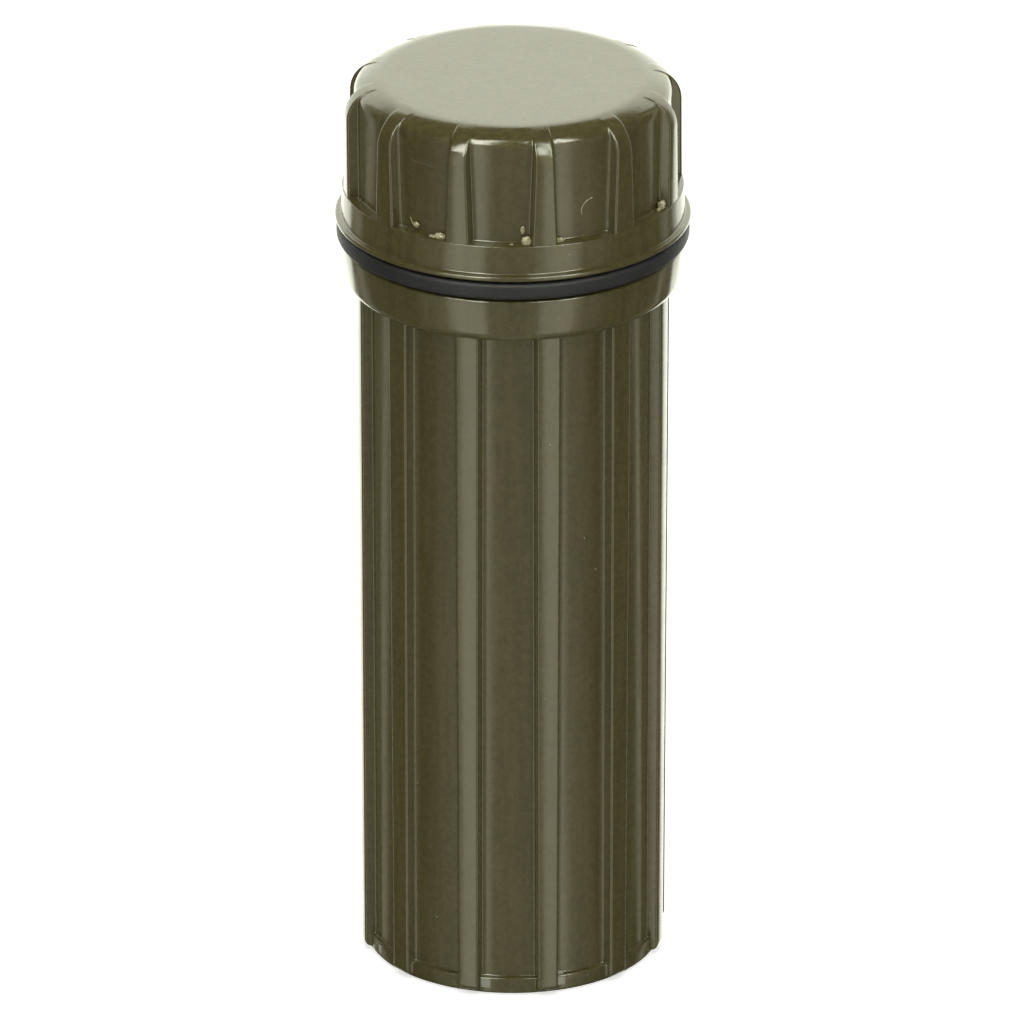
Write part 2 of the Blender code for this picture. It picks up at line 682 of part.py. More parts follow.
def make_needle(lift, hole_roof):
    """The magnetised needle, a lozenge on a hub that sits over the pivot's tip."""
    hub_underside = hole_roof - HUB_HOLE_DEPTH
    hub_top = hub_underside + HUB_HEIGHT
    half_length, half_width = NEEDLE_LENGTH / 2, NEEDLE_WIDTH / 2
    lozenge = [(0, -half_length), (half_width, 0), (0, half_length), (-half_width, 0)]
    blade = plate("needle_plate", [lozenge], NEEDLE_THICKNESS)
    blade.matrix_world = Matrix.Translation((0, 0, (hub_underside + hub_top) / 2))
    hub = [
        (0, hub_top),
        (HUB_RADIUS, hub_top),
        (HUB_RADIUS, hub_underside),
        (HUB_HOLE_RADIUS, hub_underside),
        (HUB_HOLE_RADIUS, hole_roof),
        (0, hole_roof),
    ]
    solid_hub = cylinder("hub_room", HUB_HOLE_RADIUS, hub_underside - OVERRUN, hole_roof)
    needle = join(turned("hub_turning", hub), cut(blade, solid_hub))
    turn = Matrix.Rotation(math.radians(NEEDLE_TURN_DEG), 4, "Z")
    finish(needle, "compass_needle", "needle_steel", lift @ turn)


def match_positions():
    """(angle, reach) of each match, the outer row first."""
    pitch = 2 * MATCH_HEAD_RADIUS + SEAT_GAP
    outer = KIT_WALL - MATCH_HEAD_RADIUS
    inner = outer - pitch - SEAT_GAP
    places = []
    for count, reach in ((OUTER_MATCH_COUNT, outer), (INNER_MATCH_COUNT, inner)):
        step = 2 * math.degrees(math.asin(pitch / (2 * reach)))
        for index in range(count):
            places.append((MATCH_MIDDLE_DEG + (index - (count - 1) / 2) * step, reach))
    return places


def make_matches():
    """Storm matches: a square stick and a dipped head, which share one mesh."""
    half = MATCH_STICK_WIDTH / 2
    stick = box("match_stick", (-half, -half, 0), (half, half, MATCH_LENGTH - MATCH_HEAD_RADIUS))
    neck = MATCH_LENGTH - MATCH_HEAD_LENGTH
    outline = arc((0, MATCH_LENGTH - MATCH_HEAD_RADIUS), MATCH_HEAD_RADIUS, 90, 0)
    outline += [(MATCH_HEAD_RADIUS, neck + MATCH_HEAD_RADIUS), (half, neck), (0, neck)]
    head = turned("match_head", outline, SMALL_STEPS // 2)
    pattern = finish(join(stick, head), "match_1", "match_wood")
    for number, (angle_deg, reach) in enumerate(match_positions(), start=1):
        piece = pattern if number == 1 else add_piece(f"match_{number}", pattern.data)
        turn = Matrix.Rotation(math.radians(angle_deg), 4, "Z")
        piece.matrix_world = beside_candle(angle_deg, reach, KIT_FLOOR) @ turn


def make_pencil():
    """A hexagonal pencil, point up, round its own lead."""
    corner_radius = PENCIL_FLAT_WIDTH / 2 / math.cos(math.pi / 6)
    shoulder = PENCIL_LENGTH - PENCIL_POINT_LENGTH
    bore = LEAD_RADIUS + SEAT_GAP
    barrel = cylinder("pencil_hexagon", corner_radius, 0, PENCIL_LENGTH, 6)
    sharpened = [
        (0, PENCIL_LENGTH),
        (PENCIL_POINT_RADIUS, PENCIL_LENGTH),
        (corner_radius + OVERRUN, shoulder - OVERRUN),
        (corner_radius + OVERRUN, -OVERRUN),
        (0, -OVERRUN),
    ]
    boolean(barrel, turned("pencil_sharpening", sharpened), "INTERSECT")
    cut(barrel, cylinder("pencil_bore", bore, -OVERRUN, PENCIL_LENGTH + OVERRUN))
    spot = beside_candle(PENCIL_DEG, KIT_WALL - corner_radius, KIT_FLOOR)
    finish(barrel, "pencil_barrel", "pencil_wood", spot)
    lead_tip = PENCIL_LENGTH + LEAD_STAND_OUT
    lead = [
        (0, lead_tip),
        (LEAD_RADIUS / 2, lead_tip - LEAD_POINT_LENGTH / 2),
        (LEAD_RADIUS, lead_tip - LEAD_POINT_LENGTH),
        (LEAD_RADIUS, 0),
        (0, 0),
    ]
    finish(turned("lead_turning", lead), "pencil_lead", "graphite", spot)


def make_fire_rod():
    """The fire rod stands on its free end with its grip up."""
    rod = [
        (0, ROD_LENGTH),
        (ROD_RADIUS - ROD_CHAMFER, ROD_LENGTH),
        (ROD_RADIUS, ROD_LENGTH - ROD_CHAMFER),
        (ROD_RADIUS, ROD_CHAMFER),
        (ROD_RADIUS - ROD_CHAMFER, 0),
        (0, 0),
    ]
    spot = beside_candle(ROD_DEG, KIT_WALL - GRIP_RADIUS, KIT_FLOOR)
    finish(turned("rod_turning", rod), "fire_rod", "fire_steel", spot)
    low = ROD_LENGTH - ROD_IN_GRIP
    top = low + GRIP_LENGTH
    socket = ROD_RADIUS + SEAT_GAP
    outline = [(0, top)] + arc((GRIP_RADIUS - GRIP_ROUND, top - GRIP_ROUND), GRIP_ROUND, 90, 0)
    groove_top = low + GRIP_GROOVE_COUNT * GRIP_GROOVE_PITCH
    for index in range(GRIP_GROOVE_COUNT):
        height = groove_top - index * GRIP_GROOVE_PITCH
        outline += [
            (GRIP_RADIUS, height + GRIP_GROOVE_DEPTH),
            (GRIP_RADIUS - GRIP_GROOVE_DEPTH, height),
            (GRIP_RADIUS, height - GRIP_GROOVE_DEPTH),
        ]
    outline += [
        (GRIP_RADIUS, low + ROD_CHAMFER),
        (GRIP_RADIUS - ROD_CHAMFER, low),
        (socket, low),
        (socket, ROD_LENGTH + SEAT_GAP),
        (0, ROD_LENGTH + SEAT_GAP),
    ]
    grip = turned("grip_turning", outline)
    eye = cylinder("grip_eye", GRIP_EYE_RADIUS, -2 * GRIP_RADIUS, 2 * GRIP_RADIUS, SMALL_STEPS // 2)
    across = Matrix.Rotation(math.pi / 2, 4, "X")
    eye.matrix_world = Matrix.Translation((0, 0, top - GRIP_EYE_DROP)) @ across
    finish(cut(grip, eye), "fire_rod_grip", "grip_plastic", spot)


def make_scraper(reach):
    """The scraper: a steel strip with an eye and a toothed edge."""
    half = SCRAPER_WIDTH / 2
    outline = arc((half - SCRAPER_ROUND, SCRAPER_ROUND), SCRAPER_ROUND, -90, 0)
    for index in range(SCRAPER_TOOTH_COUNT):
        height = SCRAPER_TOOTH_START + index * SCRAPER_TOOTH_PITCH
        outline += [(half, height), (half - SCRAPER_TOOTH_DEPTH, height + SCRAPER_TOOTH_PITCH / 2)]
    outline += [(half, SCRAPER_TOOTH_START + SCRAPER_TOOTH_COUNT * SCRAPER_TOOTH_PITCH)]
    outline += arc((half - SCRAPER_ROUND, SCRAPER_LENGTH - SCRAPER_ROUND), SCRAPER_ROUND, 0, 90)
    outline += arc((SCRAPER_ROUND - half, SCRAPER_LENGTH - SCRAPER_ROUND), SCRAPER_ROUND, 90, 180)
    outline += arc((SCRAPER_ROUND - half, SCRAPER_ROUND), SCRAPER_ROUND, 180, 270)
    eye_steps = 2 * ARC_STEPS
    eye = arc((0, SCRAPER_LENGTH - half), SCRAPER_EYE_RADIUS, 0, 360, eye_steps)[:-1]
    strip = plate("scraper_strip", [outline, eye], SCRAPER_THICKNESS)
    finish(strip, "scraper", "steel", facing_out(BLADE_DEG, reach, KIT_FLOOR))


def make_blade():
    """The blade stands point down in its guard, with its slotted tang above."""
    half_guard = GUARD_WIDTH / 2
    reach = math.sqrt(KIT_WALL**2 - half_guard**2) - GUARD_THICKNESS / 2
    stand = facing_out(BLADE_DEG, reach, KIT_FLOOR)
    outline = round_corners(half_guard, 0, GUARD_LENGTH, GUARD_WALL)
    guard = plate("guard_block", [outline], GUARD_THICKNESS, GUARD_EDGE)
    room_half = half_guard - GUARD_WALL
    room_depth = GUARD_THICKNESS / 2 - GUARD_WALL
    room_top = GUARD_LENGTH + OVERRUN
    room = box("guard_room", (-room_half, GUARD_WALL, -room_depth), (room_half, room_top, room_depth))
    finish(cut(guard, room), "blade_guard", "guard_card", stand)
    half, half_tang, half_slot = BLADE_WIDTH / 2, BLADE_TANG_WIDTH / 2, BLADE_SLOT_WIDTH / 2
    foot = GUARD_WALL + SEAT_GAP
    top = foot + BLADE_LENGTH
    shoulder = top - BLADE_TANG_LENGTH
    outline = [
        (half, foot),
        (half, shoulder),
        (half_tang, shoulder + (half - half_tang)),
        (half_tang, top - half_slot),
        (half_tang - half_slot, top),
        (half_slot - half_tang, top),
        (-half_tang, top - half_slot),
        (-half_tang, shoulder + (half - half_tang)),
        (-half, shoulder),
        (-half, foot + BLADE_POINT_LENGTH),
    ]
    slot_top = top - BLADE_WIDTH / 2
    slot = arc((0, slot_top - half_slot), half_slot, 0, 180) + arc(
        (0, slot_top - BLADE_SLOT_LENGTH + half_slot), half_slot, 180, 360
    )
    blade = plate("blade_sheet", [outline, slot], BLADE_THICKNESS)
    finish(blade, "blade", "steel", stand)
    make_scraper(reach - GUARD_THICKNESS / 2 - SEAT_GAP - SCRAPER_THICKNESS / 2)


def pin_half_head():
    """Half the distance between the two legs of a pin under its clasp."""
    return PIN_COIL_RADIUS + PIN_HEAD_SPREAD / 2


def clasp_half_width():
    """The clasp goes round both legs with a clearance."""
    return pin_half_head() + PIN_WIRE_RADIUS + SEAT_GAP + CLASP_WALL


def pin_wire_points():
    """The wire's middle line: down one leg, round the coil and up the other leg."""
    coil_middle = PIN_COIL_RADIUS + PIN_WIRE_RADIUS
    leg_top = PIN_LENGTH - CLASP_LENGTH + WIRE_IN_CLASP
    half_head = pin_half_head()
    depth = PIN_COIL_TURNS * PIN_COIL_PITCH
    points = [(-half_head, leg_top, 0), (-half_head, PIN_LENGTH - CLASP_LENGTH - CLASP_WALL, 0)]
    for step in range(PIN_COIL_POINTS + 1):
        share = step / PIN_COIL_POINTS
        angle = math.pi + math.tau * PIN_COIL_TURNS * share
        across = PIN_COIL_RADIUS * math.cos(angle)
        up = coil_middle + PIN_COIL_RADIUS * math.sin(angle)
        points.append((across, up, depth * (share - 0.5)))
    points += [(half_head, PIN_LENGTH - CLASP_LENGTH - CLASP_WALL, 0), (half_head, leg_top, 0)]
    return points


def least_coil_gap(points):
    """The least space between two turns of the wire, from its middle line."""
    coil = points[2:-2]
    turn = round(PIN_COIL_POINTS / PIN_COIL_TURNS)
    apart = [
        (Vector(a) - Vector(b)).length
        for index, a in enumerate(coil)
        for b in coil[index + turn // 2 :]
    ]
    return min(apart) - 2 * PIN_WIRE_RADIUS


def make_pin(number, reach):
    """One safety pin: its bent wire and the pressed clasp over its two ends."""
    stand = facing_out(PIN_DEG, reach, KIT_FLOOR)
    points = pin_wire_points()
    curve = bpy.data.curves.new("pin_curve", "CURVE")
    curve.dimensions = "3D"
    curve.bevel_depth = PIN_WIRE_RADIUS
    curve.bevel_resolution = 1
    curve.use_fill_caps = True
    spline = curve.splines.new("POLY")
    spline.points.add(len(points) - 1)
    for point, co in zip(spline.points, points):
        point.co = (*co, 1)
    finish(helper("pin_path", curve), f"pin_wire_{number}", "steel", stand)
    half = clasp_half_width()
    low = PIN_LENGTH - CLASP_LENGTH
    outline = [(-half, low), (half, low)] + arc((0, PIN_LENGTH - half), half, 0, 180, 2 * ARC_STEPS)
    clasp = plate("clasp_block", [outline], CLASP_THICKNESS, CLASP_EDGE)
    room_half = half - CLASP_WALL
    room_top = low + WIRE_IN_CLASP + SEAT_GAP
    depth = CLASP_THICKNESS / 2 - CLASP_WALL
    room = box("clasp_room", (-room_half, low - OVERRUN, -depth), (room_half, room_top, depth))
    finish(cut(clasp, room), f"pin_clasp_{number}", "steel", stand)
    return least_coil_gap(points)


def make_pins():
    """Closed safety pins, one in front of the other."""
    thickness = PIN_COIL_TURNS * PIN_COIL_PITCH + 2 * PIN_WIRE_RADIUS
    reach = math.sqrt(KIT_WALL**2 - clasp_half_width() ** 2) - thickness / 2
    for number in range(1, PIN_COUNT + 1):
        gap = make_pin(number, reach - (number - 1) * (thickness + SEAT_GAP))
    print(f"safety pin coil: {len(pin_wire_points())} points, least gap {gap / MM:.2f} mm")


def make_plasters():
    """Wrapped plasters, flat against each other."""
    half_width = PLASTER_WIDTH / 2
    reach = math.sqrt(KIT_WALL**2 - half_width**2) - PLASTER_THICKNESS / 2
    for number in range(1, PLASTER_COUNT + 1):
        outline = round_corners(half_width, 0, PLASTER_LENGTH, PLASTER_CORNER)
        packet = plate("plaster_packet", [outline], PLASTER_THICKNESS, PLASTER_EDGE)
        spot = facing_out(PLASTER_DEG, reach - (number - 1) * (PLASTER_THICKNESS + SEAT_GAP), KIT_FLOOR)
        finish(packet, f"plaster_{number}", "plaster_wrap", spot)


make_body()
make_seal()
make_cap()
make_wad()
make_candle()
make_compass()
make_matches()
make_pencil()
make_fire_rod()
make_blade()
make_pins()
make_plasters()
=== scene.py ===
import logging
import math
from collections.abc import Callable, Iterable
from dataclasses import dataclass, field
from enum import Enum
from functools import reduce

import bmesh
import bpy
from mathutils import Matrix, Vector


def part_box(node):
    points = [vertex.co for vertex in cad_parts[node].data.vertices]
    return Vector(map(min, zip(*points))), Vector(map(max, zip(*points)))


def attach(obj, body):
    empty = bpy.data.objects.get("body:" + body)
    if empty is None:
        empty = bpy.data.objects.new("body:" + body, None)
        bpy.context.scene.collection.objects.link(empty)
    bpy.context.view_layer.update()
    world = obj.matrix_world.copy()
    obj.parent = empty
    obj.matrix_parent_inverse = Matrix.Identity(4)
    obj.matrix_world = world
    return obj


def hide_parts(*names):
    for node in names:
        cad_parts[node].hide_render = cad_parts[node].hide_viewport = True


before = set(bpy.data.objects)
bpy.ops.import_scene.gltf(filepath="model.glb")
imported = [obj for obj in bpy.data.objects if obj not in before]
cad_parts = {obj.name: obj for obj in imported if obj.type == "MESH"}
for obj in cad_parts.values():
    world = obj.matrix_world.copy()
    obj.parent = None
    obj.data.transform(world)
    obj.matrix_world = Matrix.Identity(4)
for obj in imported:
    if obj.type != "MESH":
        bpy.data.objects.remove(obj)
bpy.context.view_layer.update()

LOG = logging.getLogger("capsule")
MM = 0.001
MERGE = 0.001 * MM
SMOOTH_ANGLE = math.radians(32)

Point = tuple[float, float]
Colour = tuple[float, float, float]
Piece = bpy.types.Object
Node = bpy.types.Node
Socket = bpy.types.NodeSocket


class Body(Enum):
    """The moving bodies of the capsule."""

    CASE = "case"
    SEAL = "seal"
    CAP = "cap"


def deselect_all() -> None:
    """Leaves edit mode and deselects every object."""
    if bpy.context.object and bpy.context.object.mode != "OBJECT":
        bpy.ops.object.mode_set(mode="OBJECT")
    bpy.ops.object.select_all(action="DESELECT")


def edit(name: str) -> None:
    """Names the new primitive on the bench and opens it by its vertices.

    Args:
        name: The piece's name.
    """
    bpy.context.object.name = name
    bpy.ops.object.mode_set(mode="EDIT")
    bpy.ops.mesh.select_mode(type="VERT")


def select_where(test: Callable[[Vector], bool]) -> None:
    """Selects the vertices on the bench whose place passes a test.

    Args:
        test: Takes a vertex's place and says whether it is wanted.
    """
    mesh = bmesh.from_edit_mesh(bpy.context.object.data)
    for vertex in mesh.verts:
        vertex.select = test(vertex.co)
    mesh.select_flush_mode()
    bmesh.update_edit_mesh(bpy.context.object.data)


def resize(size: tuple[float, float, float], centre: Iterable[float] = (0, 0, 0)) -> None:
    """Resizes what is selected about a centre."""
    bpy.ops.transform.resize(value=size, center_override=centre)


def turn_round(angle: float) -> None:
    """Turns what is selected about the Z axis, from +X towards +Y."""
    bpy.ops.transform.rotate(value=-angle, orient_axis="Z", center_override=(0, 0, 0))


def extrude(move: tuple[float, float, float]) -> None:
    """Extrudes what is selected by a move."""
    bpy.ops.mesh.extrude_region_move(TRANSFORM_OT_translate={"value": move})


def spin_round(repeats: int) -> None:
    """Copies the whole mesh round the Z axis.

    Args:
        repeats: How many there are in the end.
    """
    bpy.ops.mesh.select_all(action="SELECT")
    angle = math.tau * (repeats - 1) / repeats
    bpy.ops.mesh.spin(steps=repeats - 1, dupli=True, angle=angle, center=(0, 0, 0), axis=(0, 0, 1))


def close_up(merge: bool = True) -> None:
    """Closes the mesh's seams and turns its faces outwards.

    Args:
        merge: Whether vertices in one place become one.
    """
    bpy.ops.mesh.select_all(action="SELECT")
    if merge:
        bpy.ops.mesh.remove_doubles(threshold=MERGE)
    bpy.ops.mesh.normals_make_consistent(inside=False)


def shade(piece: Piece) -> Piece:
    """Leaves edit mode and shades the piece smooth, apart from its sharp edges.

    Args:
        piece: The piece on the bench.

    Returns:
        The same piece.
    """
    bpy.ops.object.mode_set(mode="OBJECT")
    bpy.ops.object.shade_smooth_by_angle(angle=SMOOTH_ANGLE)
    return piece


def join(pieces: list[Piece]) -> Piece:
    """Joins several pieces into the first.

    Args:
        pieces: The pieces, each with its place in its mesh.

    Returns:
        The first piece, with all the others in it.
    """
    deselect_all()
    for piece in pieces:
        piece.select_set(True)
    bpy.context.view_layer.objects.active = pieces[0]
    bpy.ops.object.join()
    return pieces[0]


def arc(centre: Point, radius: float, start: float, end: float, steps: int) -> list[Point]:
    """Points along an arc of a section, ends included; its degrees run from outwards towards up."""
    turns = [math.radians(start + (end - start) * step / steps) for step in range(steps + 1)]
    return [(centre[0] + radius * math.cos(turn), centre[1] + radius * math.sin(turn)) for turn in turns]


@dataclass(frozen=True)
class Row:
    """One row of a shell's section, and where that row runs over a rib."""

    radius: float
    height: float
    face: Point | None = None
    width: float = 0.0


def rows_at(points: Iterable[Point], width: float = 0.0) -> list[Row]:
    """Rows through points, as wide on the ribs as given."""
    return [Row(*point, width=width) for point in points]


def rows_over(points: Iterable[Point], radius: float, top: float, drop: float, width: float) -> list[Row]:
    """Rows through points on the panel, which cross a rib's face from a top height evenly down."""
    return [Row(*point, (radius, top - drop * number), width) for number, point in enumerate(points)]


@dataclass(frozen=True)
class RibShape:
    """How a rib's half section is rounded, and how many columns draw it."""

    crest: float
    root: float
    crest_steps: int = 4
    root_steps: int = 3
    panel_steps: int = 6

    def columns(self) -> int:
        """Columns from the rib's middle to the middle of the panel beside it."""
        return self.crest_steps + self.root_steps + self.panel_steps + 2

    def spots(self, row: Row, half_angle: float) -> list[Point]:
        """Where the columns of one row lie, from the rib's middle outwards.

        Args:
            row: The row, with or without a rib on it.
            half_angle: Half the sector's angle in radians.

        Returns:
            For each column its rise above the panel, as a share of the rib's, and its offset from
            the rib's middle plane.
        """
        rise = math.dist((row.radius, row.height), row.face) if row.face else 0.0
        scale = min(1.0, rise / (self.crest + self.root))
        crest, root = self.crest * scale, self.root * scale
        half = row.width / 2
        spots = [(1.0, 0.0)]
        for step in range(self.crest_steps + 1):
            turn = math.pi / 2 * step / self.crest_steps
            drop = crest - crest * math.cos(turn)
            spots.append((1 - drop / rise if rise else 0.0, half - crest + crest * math.sin(turn)))
        for step in range(self.root_steps + 1):
            turn = math.pi / 2 * step / self.root_steps
            lift = root - root * math.sin(turn)
            spots.append((lift / rise if rise else 0.0, half + root - root * math.cos(turn)))
        edge = math.asin((half + root) / row.radius)
        for step in range(1, self.panel_steps):
            turn = edge + (half_angle - edge) * step / self.panel_steps
            spots.append((0.0, row.radius * math.sin(turn)))
        return spots


@dataclass
class Turning:
    """A section turned about the Z axis: a ring is extruded and resized row by row.

    A ribbed shell is raised as one sector with a rib in its middle, and spun round at the end.
    """

    name: str
    steps: int
    repeats: int = 1
    last: Point = (0.0, 0.0)

    def begin(self, radius: float, height: float, filled: bool = True) -> None:
        """Adds the first ring, or one sector of it.

        Args:
            radius: The ring's radius.
            height: The ring's height.
            filled: Whether a fan of faces closes the ring's middle.
        """
        deselect_all()
        bpy.ops.mesh.primitive_circle_add(
            vertices=self.steps * self.repeats,
            radius=radius,
            fill_type="TRIFAN" if filled else "NOTHING",
            location=(0, 0, height),
        )
        bpy.ops.object.transform_apply(location=True, rotation=False, scale=False)
        edit(self.name)
        if self.repeats > 1:
            half = math.pi / self.repeats + MERGE
            select_where(lambda co: co.xy.length > MERGE and abs(math.atan2(co.y, co.x)) > half)
            bpy.ops.mesh.delete(type="VERT")
        select_where(lambda co: co.xy.length > MERGE)
        self.last = (radius, height)

    def row(self, radius: float, height: float) -> None:
        """Extrudes the last row to a new radius and height.

        Args:
            radius: The new row's radius.
            height: The new row's height.
        """
        ratio = radius / self.last[0]
        extrude((0, 0, height - self.last[1]))
        resize((ratio, ratio, 1), (0, 0, height))
        self.last = (radius, height)

    def climb(self, rows: list[Row]) -> None:
        """Raises a whole section, from a filled middle to the axis again.

        Args:
            rows: The section's rows, the first round the filled middle.
        """
        self.begin(rows[0].radius, rows[0].height)
        for row in rows[1:]:
            self.row(row.radius, row.height)
        self.row(0, self.last[1])

    def mesh(self) -> bmesh.types.BMesh:
        """Numbers the vertices of the piece on the bench.

        Returns:
            Its edit mesh.
        """
        mesh = bmesh.from_edit_mesh(bpy.context.object.data)
        mesh.verts.index_update()
        mesh.verts.ensure_lookup_table()
        return mesh

    def pick(self, indices: Iterable[int]) -> None:
        """Selects vertices by their numbers.

        Args:
            indices: The vertices' numbers.
        """
        bpy.ops.mesh.select_all(action="DESELECT")
        mesh = self.mesh()
        for index in indices:
            mesh.verts[index].select = True
        mesh.select_flush_mode()

    def numbered(self, rows: list[Row]) -> list[list[int]]:
        """Finds the vertices of every row by their place.

        Args:
            rows: The rows that were raised.

        Returns:
            For each row its vertices' numbers, in order round the axis.
        """
        found: list[list[tuple[float, int]]] = [[] for _ in rows]
        for vertex in self.mesh().verts:
            spot = (vertex.co.xy.length, vertex.co.z)
            if spot[0] > MERGE:
                away = [math.dist(spot, (row.radius, row.height)) for row in rows]
                nearest = away.index(min(away))
                found[nearest].append((math.atan2(vertex.co.y, vertex.co.x), vertex.index))
        return [[number for _, number in sorted(row)] for row in found]

    def shape_ribs(self, rows: list[Row], shape: RibShape) -> None:
        """Moves the columns to the rib's section, both sides of its middle at once.

        Args:
            rows: The rows that were raised, in order.
            shape: The rib's rounding.
        """
        half_angle = math.pi / self.repeats
        middle = self.steps // 2
        for numbers, row in zip(self.numbered(rows), rows):
            if not row.width:
                continue
            for column, (share, side) in enumerate(shape.spots(row, half_angle)):
                turn = half_angle * column / middle
                base = math.sqrt(row.radius**2 - side**2)
                face = row.face or (row.radius, row.height)
                out = base + (face[0] - base) * share
                lift = (face[1] - row.height) * share
                self.pick({numbers[middle - column], numbers[middle + column]})
                bpy.ops.transform.translate(value=(out - row.radius * math.cos(turn), 0, lift))
                if column:
                    resize((1, side / (row.radius * math.sin(turn)), 1))

    def finish(self, turn: float = 0.0) -> Piece:
        """Spins the sector round, closes its seams and turns its faces outwards.

        Args:
            turn: How far round the first repeat lies, from +X towards +Y, in radians.

        Returns:
            The finished piece.
        """
        if self.repeats > 1:
            spin_round(self.repeats)
        close_up()
        if turn:
            turn_round(turn)
        return shade(bpy.context.object)


def ribbed(name: str, rows: list[Row], shape: RibShape, ribs: int, turn: float) -> Piece:
    """Models a ribbed shell.

    Args:
        name: The piece's name.
        rows: Its section.
        shape: The ribs' rounding.
        ribs: How many ribs stand round it.
        turn: Azimuth of one of them in degrees, from the front towards +X.

    Returns:
        The finished piece.
    """
    turning = Turning(name, 2 * shape.columns(), ribs)
    turning.climb(rows)
    turning.shape_ribs(rows, shape)
    return turning.finish(math.radians(turn - 90))


@dataclass
class CaseShell:
    """The moulded case body: ribbed wall, base ring, collar, seal land and neck."""

    ribs: int = 12
    rib_turn: float = 13.1
    cavity_radius: float = 14.0 * MM
    floor_height: float = 2.5 * MM
    floor_round: float = 1.5 * MM
    neck_radius: float = 15.6 * MM
    neck_rim: float = 99.5 * MM
    neck_round: float = 0.5 * MM
    land_radius: float = 16.9 * MM
    land_top: float = 88.6 * MM
    collar_top: float = 86.3 * MM
    collar_top_radius: float = 19.2 * MM
    collar_low_radius: float = 18.9 * MM
    collar_underside: float = 81.0 * MM
    collar_round: float = 1.4 * MM
    collar_edge: float = 0.3 * MM
    panel_top_radius: float = 16.5 * MM
    panel_foot_radius: float = 16.3 * MM
    rib_rise: float = 1.3 * MM
    rib_top_width: float = 2.8 * MM
    rib_foot_width: float = 2.4 * MM
    rib_foot_round: float = 0.75 * MM
    rib_foot_end: float = -84.0
    rib_foot_steps: int = 6
    fillet: float = 0.2 * MM
    ring_radius: float = 16.9 * MM
    ring_height: float = 2.0 * MM
    ring_edge: float = 0.2 * MM
    ring_foot: float = 0.4 * MM
    recess_radius: float = 14.6 * MM
    recess_depth: float = 0.8 * MM
    shape: RibShape = field(default_factory=lambda: RibShape(crest=0.28 * MM, root=0.2 * MM))

    def inside(self) -> list[Row]:
        """Rows of the cavity, the rim, the neck and the seal land.

        Returns:
            The rows, from the floor's middle out to the collar.
        """
        floor_edge = self.cavity_radius - self.floor_round
        fillet, rim = self.fillet, self.neck_rim - self.neck_round
        points = [(floor_edge / 3, self.floor_height), (floor_edge * 2 / 3, self.floor_height)]
        points += arc((floor_edge, self.floor_height + self.floor_round), self.floor_round, -90, 0, 5)
        points += arc((self.cavity_radius + self.neck_round, rim), self.neck_round, 180, 90, 4)
        points += arc((self.neck_radius - self.neck_round, rim), self.neck_round, 90, 0, 4)
        points += arc((self.neck_radius + fillet, self.land_top + fillet), fillet, 180, 270, 3)
        points += arc((self.land_radius - fillet, self.land_top - fillet), fillet, 90, 0, 3)
        return rows_at([*points, (self.land_radius, self.collar_top)])

    def collar(self) -> list[Row]:
        """Rows of the collar, down to where its round lower edge meets the ribs.

        Returns:
            The rows, from the top down.
        """
        edge = self.collar_edge
        points = arc((self.collar_top_radius - edge, self.collar_top - edge), edge, 90, 0, 4)
        centre = (self.collar_low_radius - self.collar_round, self.collar_underside + self.collar_round)
        face = self.panel_top_radius + self.rib_rise
        meet = -math.degrees(math.acos((face - centre[0]) / self.collar_round))
        points += arc(centre, self.collar_round, 0, meet, 8)
        return rows_at(points, self.rib_top_width)

    def wall(self) -> list[Row]:
        """Rows of the ribbed wall, from under the collar down to the base ring.

        Returns:
            The rows, from the top down.
        """
        fillet, top, ring = self.fillet, self.collar_underside, self.ring_height
        head = [(self.collar_low_radius - self.collar_round, top)]
        head += arc((self.panel_top_radius + fillet, top - fillet), fillet, 90, 180, 3)
        foot = arc((self.panel_foot_radius + fillet, ring + fillet), fillet, 180, 270, 3)
        top_face = self.panel_top_radius + self.rib_rise
        foot_face = self.panel_foot_radius + self.rib_rise
        half_edge = self.ring_edge / 2
        rows = rows_over(head, top_face, top, fillet / 2, self.rib_top_width)
        return rows + rows_over(foot, foot_face, ring + half_edge, half_edge, self.rib_foot_width)

    def base(self) -> list[Row]:
        """Rows of the base ring and the recess under it.

        Returns:
            The rows, from the ring's top in to the recess's middle.
        """
        width, edge, steps = self.rib_foot_width, self.ring_edge, self.rib_foot_steps
        face = self.panel_foot_radius + self.rib_rise
        top = arc((self.ring_radius - edge, self.ring_height - edge), edge, 90, 0, 3)
        rows = rows_over(top, face, self.ring_height - 2.5 * edge, edge / 2, width)
        centre = (face - self.rib_foot_round, self.ring_foot + self.rib_foot_round)
        for number, point in enumerate(arc(centre, self.rib_foot_round, 0, self.rib_foot_end, steps)):
            height = self.ring_foot + self.rib_foot_round * (steps + 1 - number) / (steps + 2)
            rows.append(Row(self.ring_radius, height, point, width))
        rows += rows_at(
            arc((self.ring_radius - self.ring_foot, self.ring_foot), self.ring_foot, 0, -90, 4), width
        )
        recess = self.recess_radius - self.recess_depth
        return rows + [
            Row(self.recess_radius, 0.0),
            Row(recess, self.recess_depth),
            Row(self.recess_radius / 2, self.recess_depth),
        ]

    def build(self) -> Piece:
        """Models the case shell."""
        rows = self.inside() + self.collar() + self.wall() + self.base()
        return ribbed("case_shell", rows, self.shape, self.ribs, self.rib_turn)


